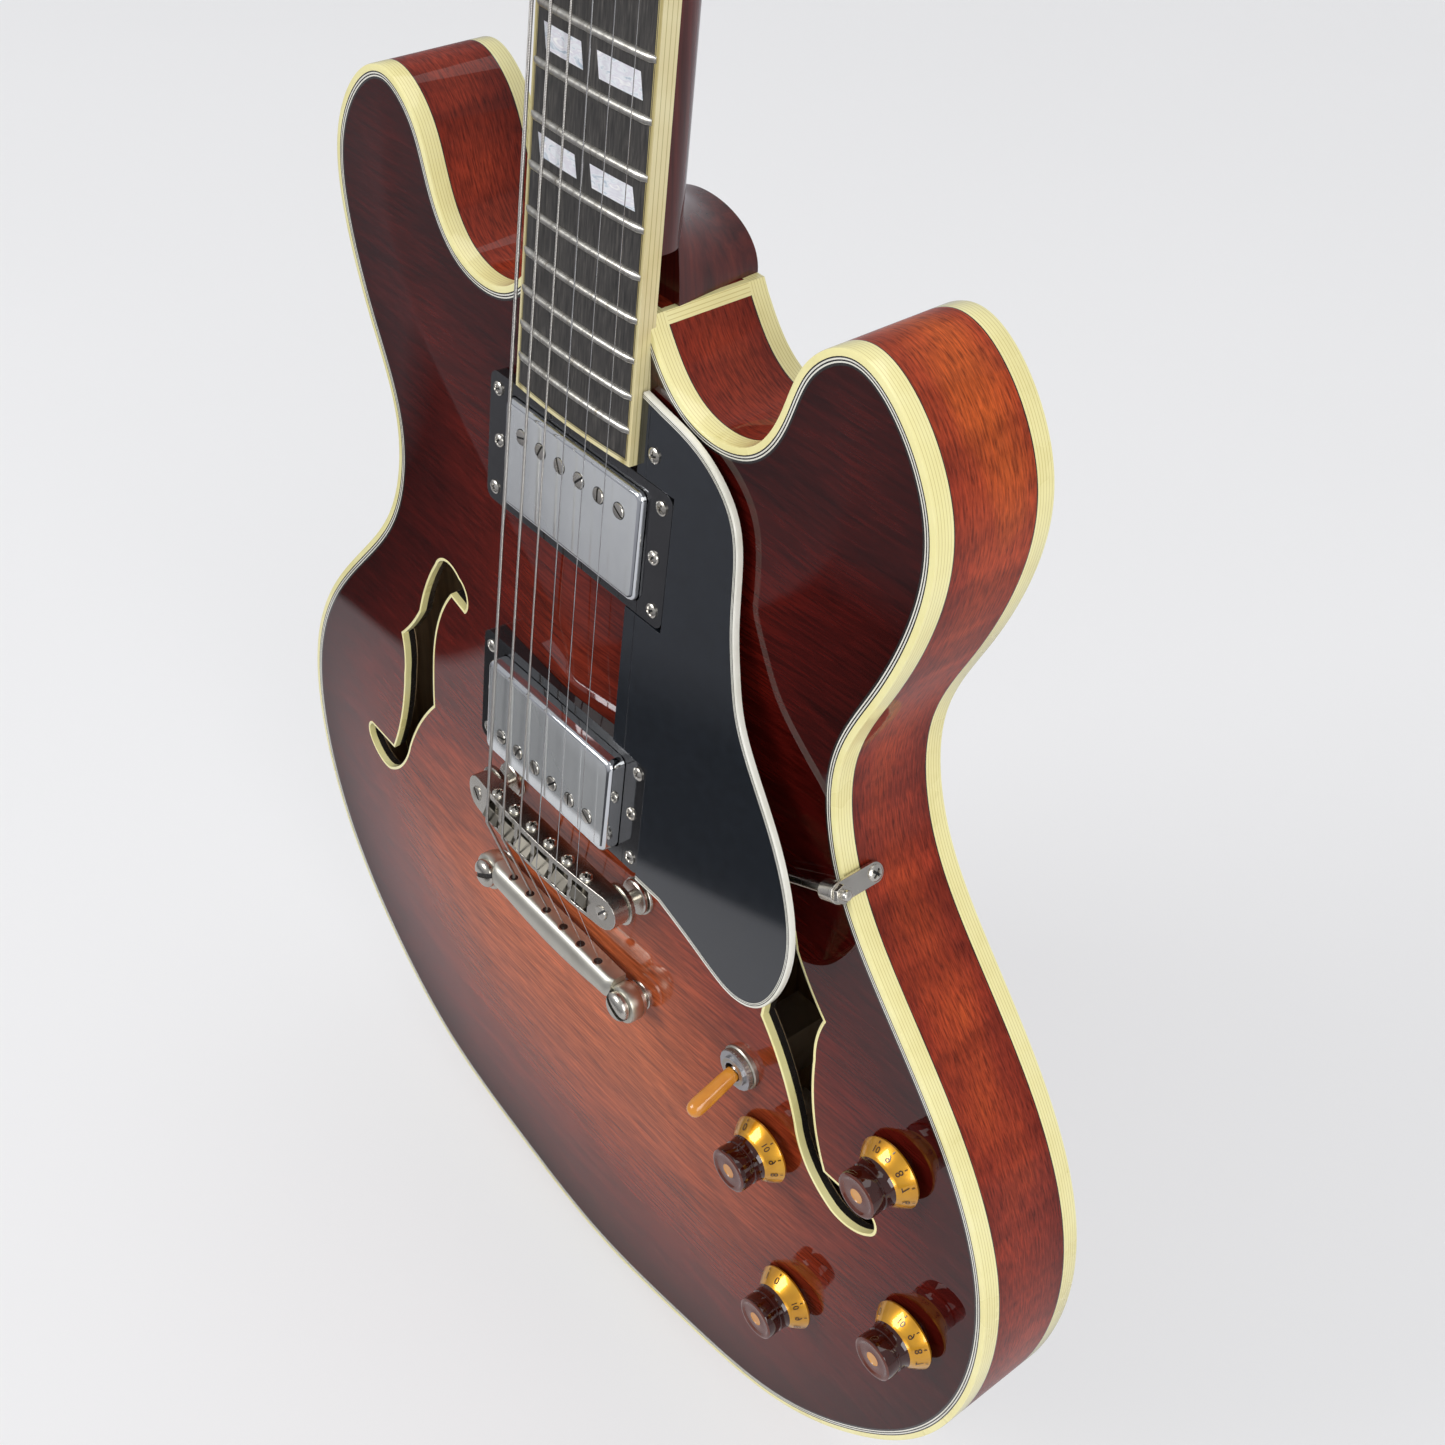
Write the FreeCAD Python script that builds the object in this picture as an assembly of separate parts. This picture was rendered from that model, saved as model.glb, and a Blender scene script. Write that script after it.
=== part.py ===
import FreeCAD
import Part
import math
import os

from FreeCAD import Placement, Rotation, Vector

# Semi-hollow electric guitar with a bound, arched body, two covered pickups and a
# fixed tailpiece. It stands upright: X points to the treble side, Y to the back,
# Z up the neck. The origin is the seat of the strap button at the tail.

# Driving dimensions, millimetres and degrees
scale_length = 628.65
fret_count = 22
half_body_width = 205.2
body_length = 482.0
rim_depth = 42.0
tail_to_bridge = 247.1
neck_angle = 4.9
fret_plane_rise = 23.0
top_arch = 10.5
back_arch = 8.0
overrun = 2.0
turned_sides = 16
peg_sides = 8
knob_sides = 24

# Body shell
neck_joint_share = 0.94606
plate_thickness = 6.2
plate_seat = 0.25
rim_wall = 4.2
lining_width = 7.5
lining_height = 8.0
binding_width = 2.2
binding_height = 6.2
arch_border = 6.0
arch_run = 150.0
block_half_width = 50.0
outline_samples = 240
arch_columns = 23
arch_station_shares = [-0.01, 0.015, 0.05, 0.10, 0.17, 0.25, 0.33, 0.42, 0.50, 0.58, 0.66, 0.74, 0.82, 0.88,
                       0.93, 0.97, 1.01]

# Half outline of the body: x as a share of the half width, z as a share of the length
body_outline_shares = [
    (0.000, 0.000), (0.289, 0.016), (0.569, 0.051), (0.796, 0.128), (0.933, 0.2135), (0.997, 0.313),
    (0.9795, 0.416), (0.873, 0.5085), (0.716, 0.588), (0.603, 0.655), (0.567, 0.735), (0.625, 0.8035),
    (0.679, 0.872), (0.678, 0.934), (0.601, 0.9855), (0.513, 1.000), (0.435, 0.9765), (0.397, 0.9385),
    (0.339, 0.906), (0.2456, 0.8995), (0.181, 0.914), (0.1375, 0.938)]

# Soundholes: corner to corner curves, x as a share of the half width and z of the tail to bridge
soundhole_binding = 2.4
soundhole_curve_shares = [
    [(0.406, 1.205), (0.358, 1.200)],
    [(0.358, 1.200), (0.346, 1.2265), (0.375, 1.251), (0.419, 1.259), (0.4605, 1.232), (0.487, 1.196),
     (0.526, 1.115), (0.565, 1.068), (0.599, 1.036)],
    [(0.599, 1.036), (0.5895, 0.9955), (0.592, 0.9595), (0.600, 0.900), (0.648, 0.779)],
    [(0.648, 0.779), (0.7455, 0.772)],
    [(0.7455, 0.772), (0.763, 0.753), (0.7505, 0.7265), (0.721, 0.7125), (0.6725, 0.716), (0.624, 0.749),
     (0.575, 0.822), (0.526, 0.903), (0.475, 0.961)],
    [(0.475, 0.961), (0.4775, 0.9995), (0.477, 1.0435), (0.462, 1.1175), (0.406, 1.205)]]

# Neck, board and frets
board_thickness = 7.0
board_radius = 305.0
board_end = 165.5
board_half_width_at_end = 28.3
board_half_width_at_nut = 21.6
board_binding = 1.9
board_end_binding = 2.4
fret_width = 2.5
fret_height = 1.1
fret_top_share = 0.5
fret_end_setback = 0.7
inlay_frets = [3, 5, 7, 9, 12, 15, 17]
inlay_thickness = 1.0
inlay_gap = 6.9
inlay_slant = 1.6
inlay_width_share = 0.79
inlay_height_share = 0.44
nut_length = 5.0
nut_rise = 2.2
shaft_depth_at_nut = 14.0
shaft_depth_at_heel = 17.5
shaft_end = 250.0
shaft_sides = 14
heel_half_width = 23.0
heel_sides = 12
heel_cap_length = 15.5
heel_level_shares = [(0.0, 1.0, 1.0), (0.20, 1.03, 1.13), (0.42, 1.07, 1.55), (0.60, 1.11, 2.3),
                     (0.74, 1.14, 3.6)]
heel_cap_thickness = 1.6
rim_end_strip_width = 6.4
rim_end_strip_depth = 1.8
tenon_half_width = 19.0
tenon_length = 44.0
tenon_depth = 24.0
truss_rod_radius = 2.6
truss_rod_depth = 12.0
truss_channel_half_width = 2.9
truss_nut_radius = 3.2
truss_nut_length = 8.0

# Headstock
head_angle = 15.0
head_drop = 4.6
head_thickness = 13.5
head_length = 182.0
head_half_width = 40.0
head_outline_shares = [(0.54, 0.0), (0.61, 0.085), (0.785, 0.165), (0.885, 0.24), (0.915, 0.35),
                       (0.945, 0.65), (1.0, 0.95)]
head_overlay_thickness = 1.6
head_binding_width = 1.6
truss_pocket_half_width = 5.0
truss_pocket_start = 1.0
truss_pocket_length = 27.0
truss_pocket_depth = 10.0
truss_cover_half_width = 11.0
truss_cover_length = 38.0
truss_cover_thickness = 1.4
truss_cover_shares = [(0.85, 0.0), (1.0, 0.12), (0.98, 0.3), (0.75, 0.5), (0.5, 0.7), (0.45, 0.85),
                      (0.3, 0.97)]

# Tuners
tuner_first = 38.0
tuner_spacing = 39.0
tuner_half_spacings = [23.0, 25.0, 27.0]
post_radius = 3.0
post_rise = 19.0
post_bevel = 1.2
post_waist_radius = 2.5
post_clearance = 0.05
post_hole_radius = 0.9
wind_radius = 3.9
wind_height = 5.0
wind_base = 4.2
bushing_radius = 5.6
bushing_sleeve_radius = 4.6
bushing_height = 2.4
bushing_sleeve_length = 6.0
housing_width = 15.5
housing_length = 20.0
housing_depth = 11.0
housing_wall = 1.8
tuner_shaft_share = 0.36
button_shaft_radius = 2.0
button_stalk = 10.0
button_shaft_offset = 5.4
button_collar_radius = 3.4
button_collar_length = 2.4
button_half_width = 8.5
button_half_length = 10.5
button_thickness = 7.5
button_outline_shares = [(0.32, 0.0), (0.78, 0.12), (1.0, 0.42), (0.92, 0.75), (0.55, 0.96), (0.2, 1.0)]

# Strings, from the thickest to the thinnest
string_radii = [0.58, 0.46, 0.33, 0.22, 0.165, 0.127]
string_spread_at_bridge = 52.0
string_spread_at_nut = 35.5
string_rise_at_nut = 1.5
string_rise_at_bridge = 5.2
string_gap = 0.3

# Bridge and saddles; places along the strings count from the scale end of the bridge
bridge_post_spacing = 74.0
bridge_post_radius = 2.6
bridge_post_top = 2.0
bridge_post_length = 30.0
post_slot_width = 0.9
post_slot_depth = 1.0
bridge_back = -6.2
bridge_front = 7.0
bridge_bottom = -5.4
bridge_crown = 3.7
bridge_post_clearance = 0.06
window_width = 8.4
window_back = -4.8
window_front = 4.7
window_floor = -4.0
saddle_clearance = 0.25
saddle_back = 2.1
saddle_front = 2.5
saddle_knife_back = 1.5
saddle_shoulder = 2.4
saddle_breaks = [-3.5, -3.0, -2.4, -2.8, -2.3, -1.8]
saddle_screw_radius = 1.0
saddle_screw_head_radius = 2.3
saddle_screw_head_length = 1.5
saddle_bore_clearance = 0.05
saddle_screw_rise = 0.1
thumbwheel_radius = 7.4
thumbwheel_thickness = 2.0
thumbwheel_gap = 0.2
collar_radius = 6.4
collar_height = 2.6
collar_sleeve_radius = 5.2
collar_sleeve_length = 18.0

# Tailpiece and studs
stud_spacing = 82.5
stud_place = -45.0
stud_head_top = -4.7
stud_head_radius = 5.6
stud_head_height = 2.0
stud_slot_width = 2.2
stud_slot_depth = 1.6
stud_neck_radius = 3.4
stud_flange_radius = 6.8
stud_flange_height = 1.6
stud_thread_radius = 3.9
stud_thread_length = 20.0
stud_sleeve_radius = 5.6
stud_sleeve_length = 19.0
stud_sleeve_rise = 1.0
tail_front = -36.6
tail_back = -51.2
tail_lip = -53.4
tail_bottom = -12.8
tail_crown = -4.9
tail_front_height = -7.0
tail_lip_height = -10.8
tail_half_length = 36.5
tail_lug_radius = 7.9
tail_lug_top = -6.9
tail_fork_clearance = 0.15
tail_string_rise = -8.4
tail_string_hole = 1.5
tail_ball_hole = 3.0
tail_ball_depth = 5.0

# Pickups: place of the centre along the strings, top of cover and ring, side of the pole row
pickup_places = [140.3, 42.5]
pickup_cover_tops = [-1.8, 0.9]
pickup_ring_tops = [-4.2, -5.4]
pickup_pole_sides = [1, -1]
cover_half_length = 34.3
cover_half_width = 18.6
cover_depth = 14.5
cover_wall = 0.6
cover_corner = 2.6
cover_edge = 0.9
ring_half_length = 45.6
ring_half_width = 22.7
ring_corner = 3.4
ring_clearance = 0.3
pole_offset = 8.8
pole_spread = 49.4
pole_head_radius = 2.5
pole_head_height = 1.6
pole_head_rise = 0.6
pole_slot_width = 0.7
pole_slot_depth = 0.6
pole_shank_radius = 1.3
pole_shank_length = 15.5
bobbin_half_length = 32.0
bobbin_width = 14.0
bobbin_gap = 3.0
bobbin_height = 9.5
magnet_height = 3.0
magnet_half_length = 31.0
magnet_half_width = 6.0
base_plate_thickness = 1.2
base_plate_inset = 0.8
leg_half_width = 6.5
leg_reach = 43.5
ring_screw_inset = 4.6
ring_screw_spacing = 35.0
height_screw_inset = 6.1
route_clearance = 1.6
route_depth = 22.0

# Screws
head_sides = 8
shank_sides = 6
small_head_radius = 2.2
small_head_height = 1.1
small_shank_radius = 1.2
small_shank_length = 11.0
height_shank_length = 15.0
strap_screw_radius = 1.9
strap_screw_length = 40.0
strap_screw_head_radius = 3.6
strap_screw_head_height = 2.2

# Pickguard, bracket
guard_top = -4.0
guard_thickness = 2.0
guard_binding = 1.6
guard_clearance = 0.35
guard_screw_place_shares = (1.27, 1.042)
guard_reach_share = 1.35
guard_tip_share = 0.9975
guard_foot_share = 0.1035
guard_edge_shares = [
    (1.33, 0.988), (1.94, 0.965), (2.42, 0.915), (2.60, 0.865), (2.665, 0.806), (2.72, 0.721),
    (2.835, 0.638), (3.025, 0.560), (3.545, 0.453), (3.95, 0.358), (4.187, 0.247), (4.12, 0.145),
    (3.855, 0.074), (3.475, 0.049),
    (3.09, 0.057), (2.64, 0.0785), (2.06, 0.1035)]
bracket_outline_share = 0.655
bracket_plate_width = 10.0
bracket_plate_thickness = 1.3
bracket_drop = 15.0
bracket_rise = 8.5
bracket_screw_drop = 9.5
bracket_rod_radius = 1.5
bracket_rod_length = 27.0
bracket_rod_rise = 4.4
bracket_nut_radius = 3.7
bracket_nut_thickness = 2.2
bracket_seat = 0.9

# Controls
knob_place_shares = [(0.526, 0.37783), (0.780, 0.4578), (0.604, 0.22844), (0.861, 0.31139)]
knob_skirt_radius = 12.7
knob_skirt_edge = 1.2
knob_waist_radius = 8.6
knob_waist_height = 5.6
knob_top_radius = 7.7
knob_height = 15.5
knob_lift = 2.0
knob_bore_depth = 11.0
knob_foot_clearance = 0.7
pot_shaft_radius = 3.0
pot_shaft_clearance = 0.05
pot_bushing_radius = 4.7
pot_can_radius = 12.0
pot_can_depth = 10.0
pot_can_gap = 4.0
pot_nut_radius = 6.6
pot_nut_height = 1.6
pot_nut_lift = 1.1
pot_floor = 1.0
switch_place_shares = (0.449, 0.43217)
switch_nut_radius = 7.6
switch_nut_lift = 1.5
switch_nut_height = 3.2
switch_collar_radius = 5.6
switch_collar_height = 1.0
switch_bore_radius = 3.6
switch_sleeve_radius = 5.5
switch_body_half_width = 7.0
switch_body_half_length = 11.0
switch_body_depth = 20.0
switch_body_floor = 3.0
switch_rest_lean = 22.0
switch_lever_radius = 1.3
switch_lever_length = 22.0
switch_tip_start = 5.0
switch_tip_base_radius = 2.1
switch_tip_radius = 3.3
switch_tip_shares = [(1.0, 0.72), (0.96, 0.86), (0.62, 0.97)]
switch_pivot_radius = 3.3
switch_pivot_drop = 1.6
switch_ball_radius = 2.6
switch_pin_radius = 0.9

# Output jack and strap buttons
jack_place_share = 0.135
jack_bore_radius = 3.25
jack_barrel_radius = 4.8
jack_barrel_length = 22.0
jack_nut_radius = 8.0
jack_nut_thickness = 2.4
jack_washer_radius = 8.6
jack_washer_thickness = 0.8
jack_terminal_width = 7.0
jack_terminal_length = 9.0
jack_terminal_thickness = 0.8
strap_base_radius = 5.6
strap_waist_radius = 3.4
strap_rim_radius = 7.2
strap_height = 12.5
strap_flange = 2.2
strap_seat_clearance = 0.1
heel_button_setback = 16.0

# Derived places
tail_to_neck_joint = body_length * neck_joint_share
front_y = -rim_depth / 2
back_y = rim_depth / 2
bridge_z = tail_to_bridge
board_half_slope = (board_half_width_at_end - board_half_width_at_nut) / (scale_length - board_end)
neck_frame = Placement(Vector(0, front_y - fret_plane_rise, bridge_z),
                       Rotation(Vector(1, 0, 0), -neck_angle))
head_base = Placement(Vector(0, head_drop, scale_length + nut_length),
                      Rotation(Vector(1, 0, 0), -head_angle))
head_frame = neck_frame.multiply(head_base)
along_x = Vector(1, 0, 0)
to_back = Vector(0, 1, 0)
to_front = Vector(0, -1, 0)
upward = Vector(0, 0, 1)


def board_half_width(place):
    """Half the width of the board at a place along the strings."""
    return board_half_width_at_nut + board_half_slope * (scale_length - place)


def fret_place(number):
    """Distance of a fret from the bridge line."""
    return scale_length / 2 ** (number / 12)


def at(x, rise, place):
    """Point in the neck frame: rise above the board and place along the strings."""
    return Vector(x, -rise, place)


def on_neck(shape):
    """Shape moved from the strings' frame into the guitar's."""
    moved = shape.copy()
    moved.Placement = neck_frame.multiply(moved.Placement)
    return moved


def on_head(shape):
    """Shape moved from the headstock's frame into the guitar's."""
    moved = shape.copy()
    moved.Placement = head_frame.multiply(moved.Placement)
    return moved


def aimed(shape, point, direction):
    """Shape built along Z, set on a point and turned to a direction."""
    moved = shape.copy()
    moved.Placement = Placement(point, Rotation(upward, direction)).multiply(moved.Placement)
    return moved


def mirrored(shape):
    """Points of the bass side for the points of the treble side."""
    return shape.mirror(Vector(0, 0, 0), along_x)


def cylinder(radius, start, end):
    """Round bar between two points."""
    run = end.sub(start)
    return Part.makeCylinder(radius, run.Length, start, run)


def block(x_range, y_range, z_range):
    """Box between its limits along the three axes."""
    size = [top - low for low, top in (x_range, y_range, z_range)]
    return Part.makeBox(*size, Vector(x_range[0], y_range[0], z_range[0]))


def neck_block(x_range, rise_range, place_range):
    """Box in the strings' frame: across, above the board and along."""
    return block(x_range, (-rise_range[1], -rise_range[0]), place_range)


def turned(profile, sides=turned_sides):
    """Solid turned about Z from (radius, height) corners, with flat sides instead of a round."""
    closed = profile[0][0] > 0
    pairs = list(zip(profile, profile[1:] + profile[:1])) if closed else list(zip(profile, profile[1:]))
    angles = [2 * math.pi * k / sides for k in range(sides + 1)]
    faces = []
    for (low_radius, low), (high_radius, high) in pairs:
        for a, b in zip(angles, angles[1:]):
            corners = [Vector(low_radius * math.cos(a), low_radius * math.sin(a), low),
                       Vector(low_radius * math.cos(b), low_radius * math.sin(b), low),
                       Vector(high_radius * math.cos(b), high_radius * math.sin(b), high),
                       Vector(high_radius * math.cos(a), high_radius * math.sin(a), high)]
            if low_radius == 0:
                corners = corners[1:]
            if high_radius == 0:
                corners = corners[:-1]
            if len(corners) > 2:
                faces.append(Part.Face(Part.makePolygon(corners + corners[:1])))
    solid = Part.Solid(Part.makeShell(faces))
    return solid.removeSplitter() if solid.Volume > 0 else solid.reversed().removeSplitter()


def peg(radius, start, end, sides=peg_sides):
    """Round bar between two points, drawn with few sides."""
    run = end.sub(start)
    return aimed(polygon_bar(radius, 0, run.Length, sides), start, run)


def edge_through(points):
    """Arc through three points, or a straight edge between two."""
    if len(points) == 2:
        return Part.LineSegment(points[0], points[1]).toShape()
    return Part.Arc(*points).toShape()


def arcs_through(points):
    """Chain of arcs, each through three of an odd number of points and ending where the next starts."""
    return [points[k:k + 3] for k in range(0, len(points) - 1, 2)]


def flat_wire(points, y=0.0):
    """Closed wire of straight edges."""
    corners = [Vector(x, y, z) for x, z in points]
    return Part.makePolygon(corners + corners[:1])


def prism(wire, depth):
    """Solid from a closed wire in an XZ plane, drawn towards the back by depth."""
    return Part.Face(wire).extrude(Vector(0, depth, 0))


def rounded_plate(half_x, half_z, corner, depth):
    """Flat plate with round corners."""
    plate = block((-half_x, half_x), (0, depth), (-half_z, half_z))
    edges = [edge for edge in plate.Edges if abs(edge.tangentAt(edge.FirstParameter).y) > 0.9]
    return plate.makeFillet(corner, edges)


def polygon_bar(radius, low, high, sides):
    """Upright bar with flat sides round a circle."""
    angles = [2 * math.pi * k / sides for k in range(sides)]
    corners = [Vector(radius * math.cos(angle), radius * math.sin(angle), low) for angle in angles]
    return Part.Face(Part.makePolygon(corners + corners[:1])).extrude(Vector(0, 0, high - low))


def bore_bar(radius, low, high, sides=turned_sides):
    """Bar that cuts a bore: its flats lie on the radius, so a round or many-sided shaft turns in it."""
    return polygon_bar(radius / math.cos(math.pi / sides), low, high, sides)


def hexagon(radius, height):
    """Corners of a regular hexagon."""
    return polygon_bar(radius, 0, height, 6)


def screw(head_radius, head_height, shank_radius, shank_length):
    """Screw along Z with its head seated on zero; its round parts are drawn with few sides."""
    head = polygon_bar(head_radius, 0, head_height, head_sides)
    return head.fuse(polygon_bar(shank_radius, -shank_length, 0, shank_sides))


def save(name, *shapes):
    """Write the pieces of one node."""
    solids = [solid for shape in shapes for solid in shape.Solids]
    piece = solids[0] if len(solids) == 1 else Part.makeCompound(solids)
    piece.exportStep("parts/" + name + ".step")


def chain_wire(chain, inset=0.0):
    """Closed wire from a chain of arcs and lines; inset moves it to its right, with mitred corners."""
    edges = [edge_through(points) for points in chain]
    if not inset:
        return Part.Wire(edges)
    rights = []
    for edge in edges:
        steps = [edge.FirstParameter, (edge.FirstParameter + edge.LastParameter) / 2, edge.LastParameter]
        tangents = [edge.tangentAt(step) for step in steps]
        rights.append([Vector(tangent.z, 0, -tangent.x) for tangent in tangents])
    mitres = []
    for k, points in enumerate(chain):
        before, after = rights[k - 1][2], rights[k][0]
        mitres.append(points[0].add(before.add(after).multiply(inset / (1 + before.dot(after)))))
    moved = []
    for k, edge in enumerate(edges):
        half_way = (edge.FirstParameter + edge.LastParameter) / 2
        middle = edge.valueAt(half_way).add(rights[k][1].multiply(inset))
        ends = [mitres[k], mitres[(k + 1) % len(edges)]]
        moved.append(ends if len(chain[k]) == 2 else [ends[0], middle, ends[1]])
    return Part.Wire([edge_through(points) for points in moved])


def body_chain():
    """Edges round the body, set in from its outline."""
    right = [Vector(x * half_body_width, 0, z * body_length) for x, z in body_outline_shares]
    joint = Vector(board_half_width_at_end - binding_width, 0, tail_to_neck_joint)
    left = [Vector(-point.x, 0, point.z) for point in reversed(right[1:])]
    corner = Vector(-joint.x, 0, joint.z)
    return [[joint, corner], [corner, left[0]]] + arcs_through(left + right) + [[right[-1], joint]]


def body_wire(inset=0.0):
    """Wire round the body at a height."""
    return chain_wire(body_chain(), -inset)


def body_prism(inset, low_y, high_y):
    """Body outline, set in and made thick."""
    wire = body_wire(inset)
    wire.translate(Vector(0, low_y, 0))
    return prism(wire, high_y - low_y)


border = [(point.x, point.z) for point in body_wire().discretize(Number=outline_samples)]


def inside_outline(x, z):
    """Whether a point lies inside the outline of the body."""
    crossings = 0
    for (ax, az), (bx, bz) in zip(border, border[1:] + border[:1]):
        if (az > z) != (bz > z) and x < ax + (z - az) * (bx - ax) / (bz - az):
            crossings += 1
    return crossings % 2 == 1


def arch_height(x, z, rise):
    """Height of the carved plate above its flat border, from the distance to the outline."""
    if not inside_outline(x, z):
        return 0.0
    distance = min(math.hypot(x - px, z - pz) for px, pz in border)
    share = min(max((distance - arch_border) / arch_run, 0), 1)
    return rise * (share * share * (3 - 2 * share)) ** 0.85


def arch_band(rise, y, side, inner, outer):
    """Solid between two copies of an arched face, moved out by inner and outer; side is -1 for the front."""
    reach = half_body_width + overrun
    columns = [reach * (2 * column / (arch_columns - 1) - 1) for column in range(arch_columns)]
    sections = []
    for share in arch_station_shares:
        z = share * body_length
        heights = [arch_height(x, z, rise) for x in columns]
        edges = []
        for offset in (inner, outer):
            curve = Part.BSplineCurve()
            levels = [y + side * (height + offset) for height in heights]
            curve.interpolate([Vector(x, level, z) for x, level in zip(columns, levels)])
            edges.append(curve.toShape())
        sides = [Part.makeLine(edges[0].Vertexes[k].Point, edges[1].Vertexes[k].Point) for k in (0, 1)]
        sections.append(Part.Wire([edges[0], sides[1], edges[1], sides[0]]))
    return Part.makeLoft(sections, True, True)


body_reach = rim_depth + top_arch + back_arch
top_slab = arch_band(top_arch, front_y, -1, plate_seat - plate_thickness, 0)
back_slab = arch_band(back_arch, back_y, 1, plate_seat - plate_thickness, 0)
above_top = arch_band(top_arch, front_y, -1, 0, body_reach)


def top_surface_rise(x, z):
    """Rise of the arched top at a place."""
    return arch_height(x, z, top_arch)


def soundhole_wire(inset=0.0):
    """Wire round a soundhole."""
    chain = []
    for shares in soundhole_curve_shares:
        points = [Vector(x * half_body_width, 0, z * tail_to_bridge) for x, z in shares]
        chain += arcs_through(points)
    return chain_wire(chain, inset)


def soundhole_prism(inset):
    """Soundhole made thick, to cut the top or to stand as its edge."""
    wire = soundhole_wire(inset)
    wire.translate(Vector(0, front_y - top_arch - overrun, 0))
    return prism(wire, top_arch + plate_thickness + 2 * overrun)


def soundhole_bindings():
    """Thin edges inside both soundholes."""
    ring = top_slab.common(soundhole_prism(0).cut(soundhole_prism(soundhole_binding)))
    return [ring, mirrored(ring)]


def body_bindings():
    """Strips round the top and the back."""
    rings = []
    for low, high in ((front_y, front_y + binding_height), (back_y - binding_height, back_y)):
        rings.append(body_prism(0, low, high).cut(body_prism(binding_width, low - overrun, high + overrun)))
    return rings


def neck_seat():
    """Room in the body for the board and the shoulders of the heel."""
    points = [(-board_half_width(board_end), board_end), (board_half_width(board_end), board_end),
              (board_half_width(body_length), body_length), (-board_half_width(body_length), body_length)]
    return on_neck(prism(flat_wire(points, -top_arch), top_arch + board_thickness))


def tenon():
    """Part of the neck that sits in the body."""
    low = tail_to_neck_joint - tenon_length
    wood = block((-tenon_half_width, tenon_half_width), (front_y, front_y + tenon_depth),
                 (low, tail_to_neck_joint + overrun))
    return wood.cut(neck_seat())


def route(index):
    """Room in the top and the block for one pickup and the legs of its base plate."""
    half_x = cover_half_length + route_clearance
    half_z = cover_half_width + route_clearance
    place = pickup_places[index]
    floor = pickup_cover_tops[index] - route_depth
    main = neck_block((-half_x, half_x), (floor, top_arch), (place - half_z, place + half_z))
    reach = leg_reach + route_clearance / 2
    legs_half = leg_half_width + route_clearance
    legs = neck_block((-reach, reach), (floor, top_arch), (place - legs_half, place + legs_half))
    return on_neck(main.fuse(legs))


def shaft_section(place, depth):
    """Round-backed section of the neck under the board, as a closed wire."""
    half = board_half_width(place)
    steps = [math.pi * k / shaft_sides for k in range(shaft_sides + 1)]
    points = [Vector(half * math.cos(a), board_thickness + depth * math.sin(a) ** 0.9, place)
              for a in steps]
    return Part.makePolygon(points + points[:1])


def heel_section(y, half, start, length):
    """U-shaped section of the heel in a plane parallel to the rim planes."""
    steps = [math.pi * k / heel_sides for k in range(heel_sides + 1)]
    points = [Vector(half * math.cos(a), y, start + length * math.sin(a) ** 0.9) for a in steps]
    return Part.makePolygon(points + points[:1])


def heel():
    """Heel from the shaft to the back of the body, hollowed towards the shaft."""
    wires = [heel_section(back_y - rim_depth * drop, heel_half_width * width, tail_to_neck_joint,
                          heel_cap_length * length) for drop, width, length in heel_level_shares]
    return Part.makeLoft(wires, True, True).cut(neck_seat())


def head_wire(depth, inset):
    """Outline of the headstock, its sides in arcs and its crown one shallow arc."""
    right = [Vector(x * head_half_width, depth, z * head_length) for x, z in head_outline_shares]
    left = [Vector(-point.x, depth, point.z) for point in reversed(right)]
    crown = Vector(0, depth, head_length)
    crown_arc = [right[-1], crown, left[0]]
    chain = arcs_through(right) + [crown_arc] + arcs_through(left) + [[left[-1], right[0]]]
    return chain_wire(chain, -inset)


def head_plate(low, high, inset):
    """Plate of the headstock between two depths behind its face."""
    return prism(head_wire(low, inset), high - low)


def tuner_places():
    """Post places in the headstock plane, from the thickest string to the thinnest."""
    rows = [(half, tuner_first + tuner_spacing * k) for k, half in enumerate(tuner_half_spacings)]
    return [(-half, z) for half, z in rows] + [(half, z) for half, z in reversed(rows)]


def truss_rod():
    """Rod in the neck with its nut."""
    start = at(0, -truss_rod_depth, board_end + tenon_length * 0.25)
    end = at(0, -truss_rod_depth, scale_length + nut_length + truss_pocket_start)
    rod = cylinder(truss_rod_radius, start, end)
    nut_end = end.add(Vector(0, 0, truss_nut_length))
    return on_neck(rod), on_neck(aimed(hexagon(truss_nut_radius, truss_nut_length), end, nut_end.sub(end)))


def truss_pocket():
    """Room for the nut of the rod under its cover."""
    return on_head(block((-truss_pocket_half_width, truss_pocket_half_width),
                         (-overrun, truss_pocket_depth + overrun * 2),
                         (truss_pocket_start - nut_length, truss_pocket_start + truss_pocket_length)))


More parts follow.
